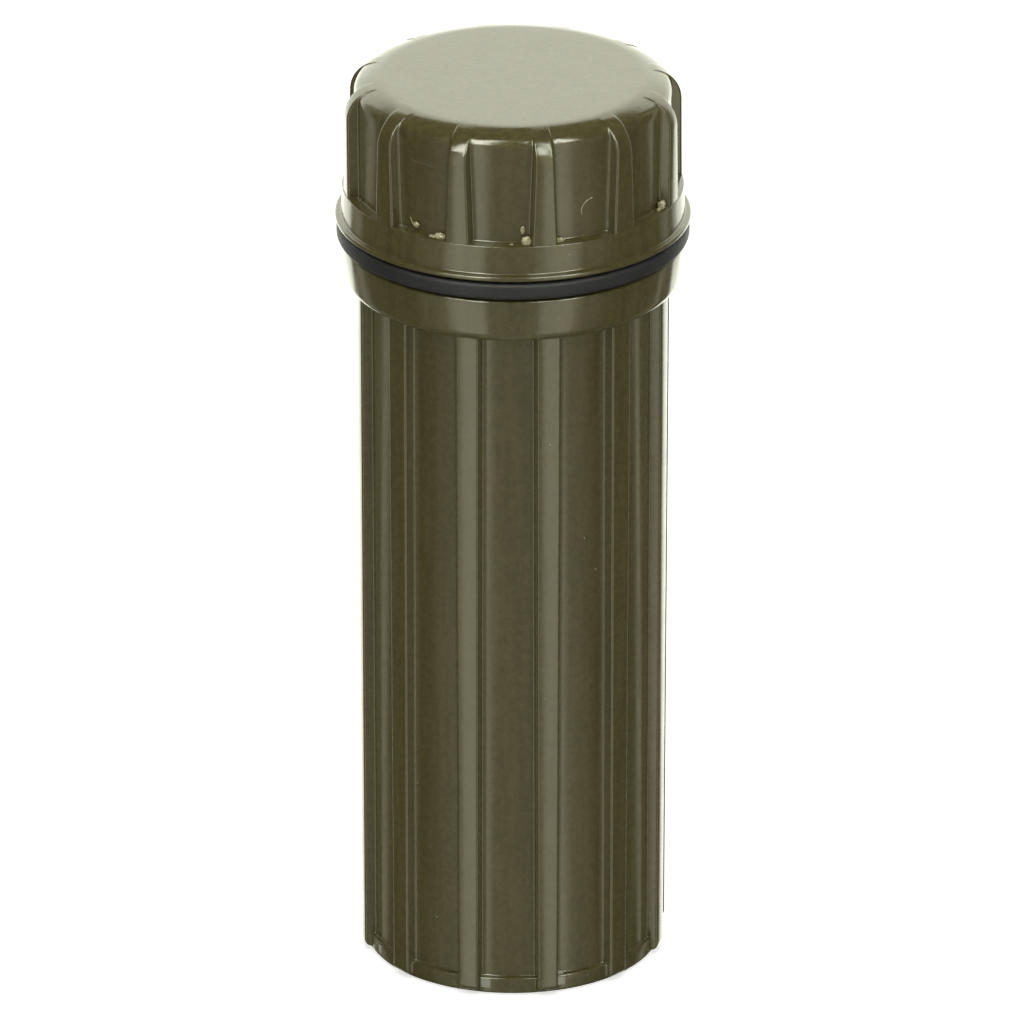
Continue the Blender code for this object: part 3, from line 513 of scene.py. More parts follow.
@dataclass
class ScrewCap:
    """The screw cap: flat top, domed shoulder, finger ribs, skirt band with a lip, and bore."""

    reach: float
    ribs: int = 12
    rib_turn: float = 10.8
    underside: float = 88.9 * MM
    top: float = 105.6 * MM
    roof: float = 103.4 * MM
    bore_radius: float = 16.5 * MM
    bore_edge: float = 0.4 * MM
    flute_radius: float = 17.75 * MM
    flat_shares: tuple[float, ...] = (0.35, 0.7, 0.9)
    shoulder_width: float = 3.25 * MM
    shoulder_drop: float = 1.0 * MM
    edge_round: float = 1.3 * MM
    band_top: float = 92.8 * MM
    band_top_radius: float = 19.15 * MM
    band_foot_radius: float = 19.25 * MM
    lip_top: float = 89.5 * MM
    lip_round: float = 0.25 * MM
    rib_rise: float = 1.3 * MM
    rib_top_width: float = 2.0 * MM
    rib_foot_width: float = 2.9 * MM
    rib_drop: float = 0.1 * MM
    head_round: float = 3.7 * MM
    fillet: float = 0.2 * MM
    wall_steps: int = 7
    shape: RibShape = field(default_factory=lambda: RibShape(crest=0.3 * MM, root=0.22 * MM))

    def rib_width(self, height: float) -> float:
        """Width of a rib at a height."""
        share = (self.top - self.rib_drop - height) / (self.top - self.rib_drop - self.band_top)
        return self.rib_top_width + (self.rib_foot_width - self.rib_top_width) * share

    def profile(self, foot: float) -> list[Point]:
        """The section between ribs: the flat top, the domed shoulder, its round edge and the flute.

        Args:
            foot: Height that the flute is followed down to.

        Returns:
            Radius and height of each point.
        """
        flat = self.flute_radius - self.shoulder_width
        dome = (self.shoulder_width**2 + self.shoulder_drop**2) / (2 * self.shoulder_drop)
        reach = self.shoulder_width - self.edge_round
        rise = math.sqrt((dome - self.edge_round) ** 2 - reach**2)
        meet = math.degrees(math.atan2(rise, reach))
        edge = self.top - dome + rise
        points = [(flat * share, self.top) for share in self.flat_shares]
        points += arc((flat, self.top - dome), dome, 90, meet, 10)
        points += arc((flat + reach, edge), self.edge_round, meet, 0, 8)[1:]
        for step in range(1, self.wall_steps + 1):
            points.append((self.flute_radius, edge + (foot - edge) * step / self.wall_steps))
        return points

    def crown(self) -> list[Row]:
        """Rows of the top and the shoulder, with the ribs' round heads rising out of it.

        Returns:
            The rows, from the top's middle out and down.
        """
        face = self.flute_radius + self.rib_rise
        centre = (face - self.head_round, self.top - self.rib_drop - self.head_round)
        points = self.profile(centre[1])
        bare = [point for point in points if math.dist(point, centre) >= self.head_round]
        ribbed_points = points[len(bare) :]
        first = ribbed_points[0]
        start = math.degrees(math.atan2(first[1] - centre[1], first[0] - centre[0]))
        heads = arc(centre, self.head_round, start, 0, len(ribbed_points))[1:]
        rows = rows_at(bare, self.rib_top_width)
        return rows + [
            Row(*point, head, self.rib_width(head[1])) for point, head in zip(ribbed_points, heads)
        ]

    def skirt(self) -> list[Row]:
        """Rows from the flutes' foot over the plain band to the lip under it.

        Returns:
            The rows, from the top down.
        """
        fillet, width = self.fillet, self.rib_foot_width
        face = self.flute_radius + self.rib_rise
        foot = arc((self.flute_radius + fillet, self.band_top + fillet), fillet, 180, 270, 3)
        rows = rows_over(foot, face, self.band_top + fillet, fillet / 3, width)
        edge = self.band_top_radius - face
        rows += rows_at(arc((self.band_top_radius - edge, self.band_top - edge), edge, 90, 0, 3), width)
        middle = self.reach - self.lip_round
        lip = arc((self.band_foot_radius + fillet, self.lip_top + fillet), fillet, 180, 270, 3)
        lip += arc((middle, self.lip_top - self.lip_round), self.lip_round, 90, 0, 4)
        lip += arc((middle, self.underside + self.lip_round), self.lip_round, 0, -90, 4)
        return rows + rows_at(lip, width)

    def bore(self) -> list[Row]:
        """Rows of the bore and the roof over it.

        Returns:
            The rows, from the underside up and in.
        """
        radius, edge = self.bore_radius, self.bore_edge
        low, high = self.underside, self.roof
        return rows_at(
            [
                (radius + edge, low),
                (radius, low + edge),
                (radius, high - edge),
                (radius - edge, high),
                (radius / 2, high),
            ]
        )

    def build(self) -> Piece:
        """Models the cap."""
        rows = self.crown() + self.skirt() + self.bore()
        return ribbed("cap_shell", rows, self.shape, self.ribs, self.rib_turn)


@dataclass
class SealRing:
    """The rubber ring squeezed between the collar and the cap."""

    inner_radius: float = 17.2 * MM
    outer_radius: float = 19.8 * MM
    underside: float = 86.6 * MM
    height: float = 2.0 * MM
    corner: float = 0.55 * MM
    steps: int = 192

    def build(self) -> Piece:
        """Models the ring as an open turning whose two ends meet.

        Returns:
            The finished piece.
        """
        turning = Turning("rubber_seal", self.steps)
        top = self.underside + self.height
        middle = self.outer_radius - self.corner
        points = arc((middle, top - self.corner), self.corner, 90, 0, 6)
        points += arc((middle, self.underside + self.corner), self.corner, 0, -90, 6)
        points += [(self.inner_radius, self.underside), (self.inner_radius, top)]
        turning.begin(self.inner_radius, top, filled=False)
        for point in points:
            turning.row(*point)
        return turning.finish()


@dataclass
class Thread:
    """A raised screw ridge: a section swept up a helix, with its ends run out into the wall."""

    name: str
    wall_radius: float
    crest_radius: float
    start_height: float
    start_turn: float
    turns: float
    pitch: float = 4.2 * MM
    foot_width: float = 1.5 * MM
    crest_width: float = 0.6 * MM
    sunk: float = 0.1 * MM
    run_out: float = 26.0
    end_width_share: float = 0.4
    end_share: float = 0.02
    steps_a_turn: int = 96

    def section(self) -> None:
        """Puts the ridge's section on the bench, as four edges standing at the start."""
        deselect_all()
        bpy.ops.mesh.primitive_plane_add(size=2)
        edit(self.name)
        depth = self.crest_radius - self.wall_radius
        for side, width in ((1, self.crest_width), (-1, self.foot_width)):
            select_where(lambda co, side=side: co.x * side > 0)
            resize((1, width / 2, 1), (side, 0, 0))
        bpy.ops.mesh.select_all(action="SELECT")
        resize((depth / 2, 1, 1))
        bpy.ops.transform.rotate(value=math.pi / 2, orient_axis="X", center_override=(0, 0, 0))
        middle = (self.wall_radius + self.crest_radius) / 2
        bpy.ops.transform.translate(value=(middle, 0, self.start_height))
        bpy.ops.mesh.delete(type="ONLY_FACE")
        bpy.ops.object.mode_set(mode="OBJECT")

    def taper(self) -> None:
        """Runs both ends of the ridge out into the wall, column by column."""
        sunk = math.copysign(self.sunk, self.wall_radius - self.crest_radius)
        columns = round(self.steps_a_turn * self.turns)
        step = 360 * self.turns / columns
        for column in range(columns + 1):
            share = min(column, columns - column) * step / self.run_out
            if share >= 1:
                continue
            share = share * share * (3 - 2 * share)
            turn = math.radians(column * step)
            outwards = Vector((math.cos(turn), math.sin(turn), 0))
            foot = outwards * (self.wall_radius + sunk)
            foot.z = self.start_height + self.pitch * column * step / 360
            across = Vector((-outwards.y, outwards.x, 0))
            select_where(
                lambda co, foot=foot, across=across: abs((co - foot).dot(across)) < MERGE
                and abs(co.z - foot.z) < self.foot_width
                and co.dot(foot.xy.to_3d()) > 0
            )
            size = max(share, self.end_share)
            resize((size, size, self.end_width_share + (1 - self.end_width_share) * share), foot)

    def build(self) -> Piece:
        """Models the ridge.

        Returns:
            The finished piece.
        """
        self.section()
        piece = bpy.context.object
        screw = piece.modifiers.new("helix", "SCREW")
        screw.angle = math.tau * self.turns
        screw.screw_offset = self.pitch * self.turns
        screw.steps = screw.render_steps = round(self.steps_a_turn * self.turns)
        screw.use_smooth_shade = False
        bpy.ops.object.modifier_apply(modifier=screw.name)
        bpy.ops.object.mode_set(mode="EDIT")
        self.taper()
        bpy.ops.mesh.select_all(action="SELECT")
        bpy.ops.mesh.fill_holes(sides=4)
        close_up(merge=False)
        turn_round(math.radians(self.start_turn))
        return shade(piece)


class Grit(Enum):
    """The shapes of the pale bits: crumbs of flash, and flat flakes for scuffs and painted highlights."""

    CRUMB = "crumb"
    FLAKE = "flake"


@dataclass(frozen=True)
class Crumb:
    """Where a pale bit sits (a crumb of moulding flash, a scuff, or a painted highlight), how wide, tall and
    deep it is, and its shape's seed.

    Its radius, height and size are in millimetres; tall and deep are shares of the size.
    """

    azimuth: float
    radius: float
    height: float
    size: float
    tall: float
    seed: int
    deep: float = 0.7
    grit: Grit = Grit.CRUMB


@dataclass(frozen=True)
class Sliver:
    """A hair of flash on a flute's wall: the azimuths and heights (mm) it runs through."""

    name: str
    thickness: float
    points: tuple[Point, ...]


@dataclass
class FlashScuffsAndGlints:
    """Pale crumbs of flash left in the corners of a moulding, and the slivers on its walls; the same pale
    bits also serve as scuffs and as painted highlights.
    """

    name: str
    crumbs: tuple[Crumb, ...]
    slivers: tuple[Sliver, ...] = ()
    wall_radius: float = 17.75 * MM
    crumb_width_share: float = 1.1
    crumb_radius_share: float = 0.55
    crumb_jitter: float = 0.3
    flake_jitter: float = 0.1
    softening: float = 0.5
    sliver_end_share: float = 0.35

    def crumb(self, place: Crumb) -> Piece:
        """Models one crumb.

        Args:
            place: Where it sits.

        Returns:
            The crumb, its place in its mesh.
        """
        deselect_all()
        size = place.size * MM
        flake = place.grit is Grit.FLAKE
        if flake:
            bpy.ops.mesh.primitive_cube_add(size=size)
        else:
            bpy.ops.mesh.primitive_ico_sphere_add(subdivisions=3, radius=size * self.crumb_radius_share)
        edit(f"flash_crumb_{place.seed}")
        if flake:
            bpy.ops.mesh.subdivide(number_cuts=4)
        jitter = self.flake_jitter if flake else self.crumb_jitter
        bpy.ops.transform.vertex_random(offset=size * jitter, seed=place.seed)
        bpy.ops.mesh.vertices_smooth(factor=self.softening, repeat=1)
        resize((self.crumb_width_share, place.deep, place.tall))
        angle = math.radians(place.azimuth)
        turn_round(angle)
        radius = place.radius * MM
        spot = (radius * math.sin(angle), -radius * math.cos(angle), place.height * MM)
        bpy.ops.transform.translate(value=spot)
        return shade(bpy.context.object)

    def sliver(self, hair: Sliver) -> Piece:
        """Models one sliver along a smooth path, thin at both ends.

        Args:
            hair: Where it runs and how thick it is.

        Returns:
            The sliver, its place in its mesh.
        """
        deselect_all()
        bpy.ops.curve.primitive_nurbs_path_add()
        path = bpy.context.object
        path.data.bevel_depth = hair.thickness
        path.data.bevel_resolution = 1
        path.data.use_fill_caps = True
        spline = path.data.splines[0]
        spline.resolution_u = 4
        for number, (point, (azimuth, height)) in enumerate(zip(spline.points, hair.points)):
            angle = math.radians(azimuth)
            out = (self.wall_radius * math.sin(angle), -self.wall_radius * math.cos(angle))
            point.co = (*out, height * MM, 1)
            full = math.sin(math.pi * (number + 0.5) / len(hair.points))
            point.radius = self.sliver_end_share + (1 - self.sliver_end_share) * full
        bpy.ops.object.convert(target="MESH")
        edit(hair.name)
        close_up()
        return shade(path)

    def build(self) -> Piece:
        """Models all the crumbs and slivers as one piece.

        Returns:
            The finished piece.
        """
        pieces = [self.crumb(place) for place in self.crumbs] + [self.sliver(hair) for hair in self.slivers]
        flash = join(pieces)
        flash.name = self.name
        return flash


CAP_FLASH = FlashScuffsAndGlints(
    "cap_flash",
    (
        Crumb(-26.2, 18.25, 93.0, 1.1, 0.7, 1),
        Crumb(4.6, 18.2, 93.1, 0.95, 1.2, 2),
        Crumb(16.8, 18.2, 93.0, 0.85, 0.7, 3),
        Crumb(65.0, 18.3, 93.1, 1.1, 0.9, 4),
        Crumb(-29.0, 18.3, 92.85, 0.7, 0.4, 5),
        Crumb(-36.5, 18.0, 93.6, 0.6, 1.0, 6),
        Crumb(3.4, 17.95, 94.4, 0.4, 2.2, 7),
        Crumb(37.5, 18.05, 93.4, 0.65, 1.4, 8),
        Crumb(62.5, 18.3, 92.9, 0.6, 0.6, 9),
        Crumb(-0.5, 18.4, 92.82, 0.4, 0.5, 10),
    ),
    (
        Sliver(
            "hook_sliver",
            0.05 * MM,
            ((29.8, 97.3), (27.2, 97.1), (25.2, 96.6), (24.7, 96.0), (25.6, 95.4)),
        ),
        Sliver(
            "curl_sliver",
            0.07 * MM,
            ((-39.8, 94.2), (-39.2, 93.5), (-37.8, 93.1), (-36.2, 93.2), (-35.6, 93.5)),
        ),
    ),
)
CAP_SCUFFS = FlashScuffsAndGlints(
    "cap_scuffs",
    (
        Crumb(38.2, 17.8, 94.3, 0.8, 3.0, 21, 0.15, Grit.FLAKE),
        Crumb(36.9, 17.85, 93.5, 0.55, 1.6, 22, 0.3, Grit.FLAKE),
    ),
    (
        Sliver(
            "faint_sliver",
            0.022 * MM,
            ((-39.5, 101.2), (-37.0, 101.0), (-34.5, 101.05), (-32.0, 100.9), (-30.0, 100.95)),
        ),
    ),
)
# Painted highlights: pale grey flakes on the base ring beside the ribs' feet, where the strip lights glint
# on the ring.
CASE_GLINTS = FlashScuffsAndGlints(
    "case_painted_glints",
    (
        Crumb(-10.6, 16.88, 1.3, 1.0, 1.1, 11, 0.12, Grit.FLAKE),
        Crumb(18.9, 16.88, 1.3, 0.85, 1.2, 12, 0.12, Grit.FLAKE),
        Crumb(-63.5, 16.85, 1.2, 0.7, 1.4, 13, 0.25, Grit.FLAKE),
        Crumb(18.6, 16.5, 2.2, 0.8, 0.5, 14, 0.5, Grit.FLAKE),
    ),
)


@dataclass
class TinderWad:
    """The cotton wad in the bottom of the case, with the wick's hole pressed into its top."""

    low: float = 2.8 * MM
    high: float = 16.8 * MM
    radius: float = 13.6 * MM
    corner: float = 2.6 * MM
    hole_radius: float = 1.7 * MM
    hole_round: float = 0.9 * MM
    hole_floor: float = 11.8 * MM
    hole_floor_share: float = 0.6
    steps: int = 48
    lump: float = 4.5 * MM
    lump_rise: float = 1.0 * MM
    lump_level: float = 0.75
    tuft: float = 1.6 * MM
    tuft_rise: float = 0.4 * MM
    tuft_level: float = 0.6

    def swell(self, piece: Piece, size: float, rise: float, level: float) -> None:
        """Pushes the surface in and out with soft clouds.

        Args:
            piece: The wad.
            size: How wide one lump is.
            rise: How far it is pushed altogether.
            level: The share of the pattern that leaves the surface where it is.
        """
        clouds = bpy.data.textures.new(f"{piece.name}_clouds", "CLOUDS")
        clouds.noise_scale = size
        clouds.noise_depth = 2
        push = piece.modifiers.new("push", "DISPLACE")
        push.texture = clouds
        push.texture_coords = "LOCAL"
        push.strength = rise
        push.mid_level = level
        bpy.ops.object.modifier_apply(modifier=push.name)

    def build(self) -> Piece:
        """Models the wad.

        Returns:
            The finished piece.
        """
        edge = self.radius - self.corner
        points = [(edge / 2, self.low)]
        points += arc((edge, self.low + self.corner), self.corner, -90, 0, 5)
        points += arc((edge, self.high - self.corner), self.corner, 0, 90, 5)
        points += [(edge / 2, self.high)]
        rim = self.hole_radius + self.hole_round
        points += arc((rim, self.high - self.hole_round), self.hole_round, 90, 180, 4)
        points += [(self.hole_radius, self.hole_floor + self.hole_round)]
        points += [(self.hole_radius * self.hole_floor_share, self.hole_floor)]
        turning = Turning("cotton_wad", self.steps)
        turning.climb(rows_at(points))
        piece = turning.finish()
        finer = piece.modifiers.new("finer", "SUBSURF")
        finer.levels = finer.render_levels = 3
        bpy.ops.object.modifier_apply(modifier=finer.name)
        self.swell(piece, self.lump, self.lump_rise, self.lump_level)
        self.swell(piece, self.tuft, self.tuft_rise, self.tuft_level)
        return piece


@dataclass
class PlasterPack:
    """One wrapped plaster: a padded paper packet, sealed flat and crimped across both ends."""

    name: str
    reach: float
    azimuth: float = -130.0
    low: float = 17.1 * MM
    length: float = 60.0 * MM
    width: float = 9.0 * MM
    thickness: float = 1.6 * MM
    sealed_share: float = 0.3
    full_share: float = 0.97
    body_share: float = 0.965
    crease_share: float = 0.03
    crease_turns: Point = (2.3, 0.9)
    crimp_length: float = 4.4 * MM
    crimp_step: float = 0.4 * MM
    crimp_rise: float = 0.13 * MM
    swell_length: float = 3.6 * MM
    swell_steps: int = 5
    body_steps: int = 18
    sides: int = 40

    def rows(self) -> list[tuple[float, float, float]]:
        """Height, share of the full thickness and sideways shift of each row, from the foot up.

        Returns:
            The three numbers of every row.
        """
        crimps = round(self.crimp_length / self.crimp_step)
        rows = []
        for step in range(crimps + 1):
            side = self.crimp_rise if step % 2 else -self.crimp_rise
            rows.append((self.low + step * self.crimp_step, self.sealed_share, side if step else 0.0))
        foot = rows[-1][0]
        for step in range(1, self.swell_steps + 1):
            share = math.sin(math.pi / 2 * step / self.swell_steps)
            share = self.sealed_share + (self.full_share - self.sealed_share) * share
            rows.append((foot + self.swell_length * step / self.swell_steps, share, 0.0))
        start = rows[-1][0]
        total = 2 * self.low + self.length
        upper = [(total - height, share, -side) for height, share, side in reversed(rows)]
        for step in range(1, self.body_steps):
            height = start + (upper[0][0] - start) * step / self.body_steps
            first, second = (turn * step for turn in self.crease_turns)
            crease = self.crease_share * math.sin(first) * math.cos(second)
            rows.append((height, self.body_share + crease, 0.0))
        return rows + upper

    def build(self) -> Piece:
        """Models the packet.

        Returns:
            The finished piece.
        """
        deselect_all()
        bpy.ops.mesh.primitive_circle_add(vertices=self.sides, radius=self.width / 2, fill_type="TRIFAN")
        edit(self.name)
        rows = self.rows()
        resize((1, self.thickness / self.width * rows[0][1], 1))
        bpy.ops.transform.translate(value=(0, 0, rows[0][0]))
        select_where(lambda co: co.xy.length > MERGE)
        for before, after in zip(rows, rows[1:]):
            extrude((0, after[2] - before[2], after[0] - before[0]))
            resize((1, after[1] / before[1], 1), (0, after[2], after[0]))
        extrude((0, 0, 0))
        resize((0, 0, 1), (0, 0, rows[-1][0]))
        close_up()
        angle = math.radians(self.azimuth)
        turn_round(angle - math.pi / 2)
        bpy.ops.transform.translate(value=(self.reach * math.cos(angle), self.reach * math.sin(angle), 0))
        return shade(bpy.context.object)


@dataclass
class DialPrint:
    """The raised marks on the compass dial: degree ticks and the four letters."""

    height: float = 91.09 * MM
    thickness: float = 0.04 * MM
    outer: float = 5.6 * MM
    long_tick: float = 0.9 * MM
    long_ticks: int = 12
    short_tick: float = 0.5 * MM
    short_ticks: int = 72
    tick_width: float = 0.14 * MM
    tick_top_share: float = 0.7
    letter_size: float = 1.9 * MM
    letter_radius: float = 3.9 * MM

    def tick(self, length: float, repeats: int, name: str) -> Piece:
        """Models one tick, narrowed upwards, and spins it round the dial.

        Args:
            length: How long the tick is.
            repeats: How many stand round the dial.
            name: The piece's name.

        Returns:
            The ring of ticks.
        """
        deselect_all()
        middle = self.outer - length / 2
        bpy.ops.mesh.primitive_plane_add(size=1, location=(0, 0, 0))
        edit(name)
        resize((self.tick_width, length, 1))
        bpy.ops.transform.translate(value=(0, middle, self.height))
        extrude((0, 0, self.thickness))
        resize((self.tick_top_share, 1, 1), (0, middle, self.height))
        spin_round(repeats)
        close_up(merge=False)
        bpy.ops.object.mode_set(mode="OBJECT")
        return bpy.context.object

    def letter(self, sign: str, turn: float) -> Piece:
        """Models one letter as a thin mesh.

        Args:
            sign: The letter.
            turn: How far clockwise from north it stands, in degrees.

        Returns:
            The letter, its place in its mesh.
        """
        deselect_all()
        bpy.ops.object.text_add()
        letter = bpy.context.object
        letter.data.body = sign
        letter.data.size = self.letter_size
        letter.data.align_x = letter.data.align_y = "CENTER"
        letter.data.extrude = self.thickness / 2
        letter.data.resolution_u = 3
        bpy.ops.object.convert(target="MESH")
        angle = math.radians(turn)
        spot = (self.letter_radius * math.sin(angle), self.letter_radius * math.cos(angle))
        letter.location = (*spot, self.height + self.thickness / 2)
        letter.rotation_euler.z = -angle
        bpy.ops.object.transform_apply(location=True, rotation=True, scale=True)
        bpy.ops.object.mode_set(mode="EDIT")
        bpy.ops.mesh.select_all(action="SELECT")
        bpy.ops.mesh.remove_doubles(threshold=MERGE)
        bpy.ops.object.mode_set(mode="OBJECT")
        return letter

    def build(self) -> Piece:
        """Models all the marks as one piece.

        Returns:
            The finished piece.
        """
        marks = [
            self.tick(self.long_tick, self.long_ticks, "dial_print"),
            self.tick(self.short_tick, self.short_ticks, "short_ticks"),
        ]
        return join(marks + [self.letter(sign, 90.0 * number) for number, sign in enumerate("NESW")])


@dataclass
class Wiring:
    """Adds nodes to one node tree, emptied first, and links them."""

    tree: bpy.types.NodeTree
    place: Socket | None = None

    def __post_init__(self) -> None:
        """Empties the tree."""
        self.tree.nodes.clear()

    def add(self, kind: str, inputs: dict | None = None, **settings: object) -> Node:
        """Adds a node.

        Args:
            kind: The node's type name, without its first word.
            inputs: For each input, by name or number, a value or the socket that feeds it.
            settings: The node's own settings.

        Returns:
            The new node.
        """
        node = self.tree.nodes.new(f"ShaderNode{kind}")
        for name, value in settings.items():
            setattr(node, name, value)
        for name, value in (inputs or {}).items():
            socket = node.inputs[name]
            if isinstance(value, Socket):
                self.tree.links.new(value, socket)
            elif isinstance(value, Node):
                self.tree.links.new(value.outputs[0], socket)
            else:
                socket.default_value = value
        return node

    def math(self, operation: str, first: object, second: object = 0.0) -> Socket:
        """A function of one or two values."""
        return self.add("Math", {0: first, 1: second}, operation=operation).outputs[0]

    def plus(self, first: object, second: object) -> Socket:
        """The sum of two values."""
        return self.math("ADD", first, second)

    def times(self, first: object, second: object) -> Socket:
        """The product of two values."""
        return self.math("MULTIPLY", first, second)

    def off(self, first: object, second: object) -> Socket:
        """How far two values are apart."""
        return self.math("ABSOLUTE", self.math("SUBTRACT", first, second))

    def parts(self, vector: object, axis: str) -> Socket:
        """A vector's part along X, Y or Z."""
        return self.add("SeparateXYZ", {0: vector}).outputs[axis]

    def fade(self, value: object, start: float, end: float, low: object = 0.0, high: object = 1.0) -> Socket:
        """A smooth change from low to high while a value goes from start to end."""
        inputs = {0: value, 1: start, 2: end, 3: low, 4: high}
        return self.add("MapRange", inputs, interpolation_type="SMOOTHSTEP").outputs[0]

    def mix(self, share: object, first: object, second: object) -> Socket:
        """One colour mixed into another by a share."""
        ends = [(*end, 1.0) if isinstance(end, tuple) else end for end in (first, second)]
        return self.add("Mix", {0: share, 6: ends[0], 7: ends[1]}, data_type="RGBA").outputs[2]

    def noise(self, vector: object, size: float, detail: float = 2.0, roughness: float = 0.5) -> Socket:
        """Noise whose lumps are about one size across, in metres."""
        inputs = {"Vector": vector, "Scale": 1 / size, "Detail": detail, "Roughness": roughness}
        return self.add("TexNoise", inputs).outputs[0]

    def drawn(self, share: float) -> Node:
        """The place, with patterns on it drawn out along Z where the share is small."""
        return self.add("Mapping", {"Vector": self.place, "Scale": (1, 1, share)})

    def surface(self, colour: object, rough: object, raised: dict, more: dict | None = None) -> Node:
        """The shader of a surface with a bump on it.

        Args:
            colour: Its base colour.
            rough: Its roughness.
            raised: The bump node's inputs.
            more: The shader's other inputs.

        Returns:
            The shader node.
        """
        bump = self.add("Bump", raised)
        inputs = {"Base Color": colour, "Roughness": rough, "Normal": bump, **(more or {})}
        return self.add("BsdfPrincipled", inputs)


def relief(height: object, strength: float, distance: object, **more: object) -> dict:
    """The inputs of a bump node."""
    return {"Height": height, "Strength": strength, "Distance": distance, **more}


@dataclass(frozen=True)
class Finish:
    """A procedural finish on a piece's object coordinates; each kind wires its own shader."""

    name: str

    def shader(self, wiring: Wiring) -> Node:
        """Wires the finish's shader."""
        raise NotImplementedError(self.name)

    def material(self) -> bpy.types.Material:
        """Makes the material.

        Returns:
            The material, with the finish's shader on it.
        """
        material = bpy.data.materials.new(f"{self.name}_finish")
        material.use_nodes = True
        wiring = Wiring(material.node_tree)
        wiring.place = wiring.add("TexCoord").outputs["Object"]
        wiring.add("OutputMaterial", {"Surface": self.shader(wiring)})
        return material


@dataclass(frozen=True)
class MouldedPlastic(Finish):
    """Satin moulded plastic with flow streaks, faint waves and small pale specks."""

    colour: Colour
    deep_colour: Colour
    roughness: float
    polish: float = 0.04
    dulling: float = 0.07
    dull_levels: Point = (0.8, 1.2)
    shade_levels: Point = (1.2, 1.8)
    speck_colour: Colour = (0.32, 0.31, 0.24)
    speck_gap: float = 2.6 * MM
    speck_sizes: Point = (0.05, 0.02)
    speck_group: float = 6 * MM
    group_levels: Point = (0.55, 0.6)
    draw_share: float = 0.07
    streak: float = 1.1 * MM
    patch: float = 4.0 * MM
    mottle: float = 0.7 * MM
    grain: float = 0.16 * MM
    grain_rise: float = 0.008 * MM
    grain_strength: float = 0.7
    wave: float = 3.5 * MM
    wave_rise: float = 0.05 * MM
    flat_wave_rise: float = 0.004 * MM
    flat_levels: Point = (0.9, 0.97)
    ior: float = 1.5

    def shader(self, wiring: Wiring) -> Node:
        """Wires the plastic.

        Args:
            wiring: The material's wiring.

        Returns:
            The shader node.
        """
        place, drawn = wiring.place, wiring.drawn(self.draw_share)
        streaks = wiring.noise(drawn, self.streak, detail=3.0)
        patches = wiring.noise(place, self.patch, detail=5.0, roughness=0.65)
        mottle = wiring.noise(place, self.mottle, detail=3.0, roughness=0.6)
        grain = wiring.noise(place, self.grain)
        waves = wiring.noise(drawn, self.wave, detail=1.0)
        cells = wiring.add("TexVoronoi", {"Vector": place, "Scale": 1 / self.speck_gap})
        speck = wiring.fade(cells.outputs["Distance"], *self.speck_sizes)
        groups = wiring.noise(place, self.speck_group, detail=1.0)
        speck = wiring.times(speck, wiring.fade(groups, *self.group_levels))
        shades = wiring.plus(wiring.plus(streaks, grain), mottle)
        body = wiring.mix(wiring.fade(shades, *self.shade_levels), self.deep_colour, self.colour)
        colour = wiring.mix(speck, body, self.speck_colour)
        smooth, dull = self.roughness - self.polish, self.roughness + self.dulling
        rough = wiring.fade(wiring.plus(patches, grain), *self.dull_levels, smooth, dull)
        facing = wiring.add("TexCoord").outputs["Normal"]
        level = wiring.math("ABSOLUTE", wiring.parts(facing, "Z"))
        calm = wiring.fade(level, *self.flat_levels, self.wave_rise, self.flat_wave_rise)
        slow = wiring.add("Bump", relief(waves, 1.0, calm))
        raised = relief(grain, self.grain_strength, self.grain_rise, Normal=slow)
        return wiring.surface(colour, rough, raised, {"IOR": self.ior})


@dataclass(frozen=True)
class Grained(Finish):
    """A plain finish with a grain: two colours, varied roughness and a fine bump."""

    colour: Colour
    second_colour: Colour
    roughness: float
    metallic: float = 0.0
    grain: float = 0.4 * MM
    stretch: float = 1.0
    bump: float = 0.01 * MM
    specular: float = 0.5
    polish: float = 0.05
    dulling: float = 0.07
    patch_grains: float = 12.0
    colour_levels: Point = (0.8, 1.2)
    dull_levels: Point = (0.3, 0.7)

    def shader(self, wiring: Wiring) -> Node:
        """Wires the grained surface.

        Args:
            wiring: The material's wiring.

        Returns:
            The shader node.
        """
        grain = wiring.noise(wiring.drawn(1 / self.stretch), self.grain, detail=3.0)
        patches = wiring.noise(wiring.place, self.grain * self.patch_grains)
        share = wiring.fade(wiring.plus(grain, patches), *self.colour_levels)
        colour = wiring.mix(share, self.colour, self.second_colour)
        smooth, dull = self.roughness - self.polish, self.roughness + self.dulling
        rough = wiring.fade(grain, *self.dull_levels, smooth, dull)
        more = {"Metallic": self.metallic, "Specular IOR Level": self.specular}
        return wiring.surface(colour, rough, relief(grain, 1.0, self.bump), more)


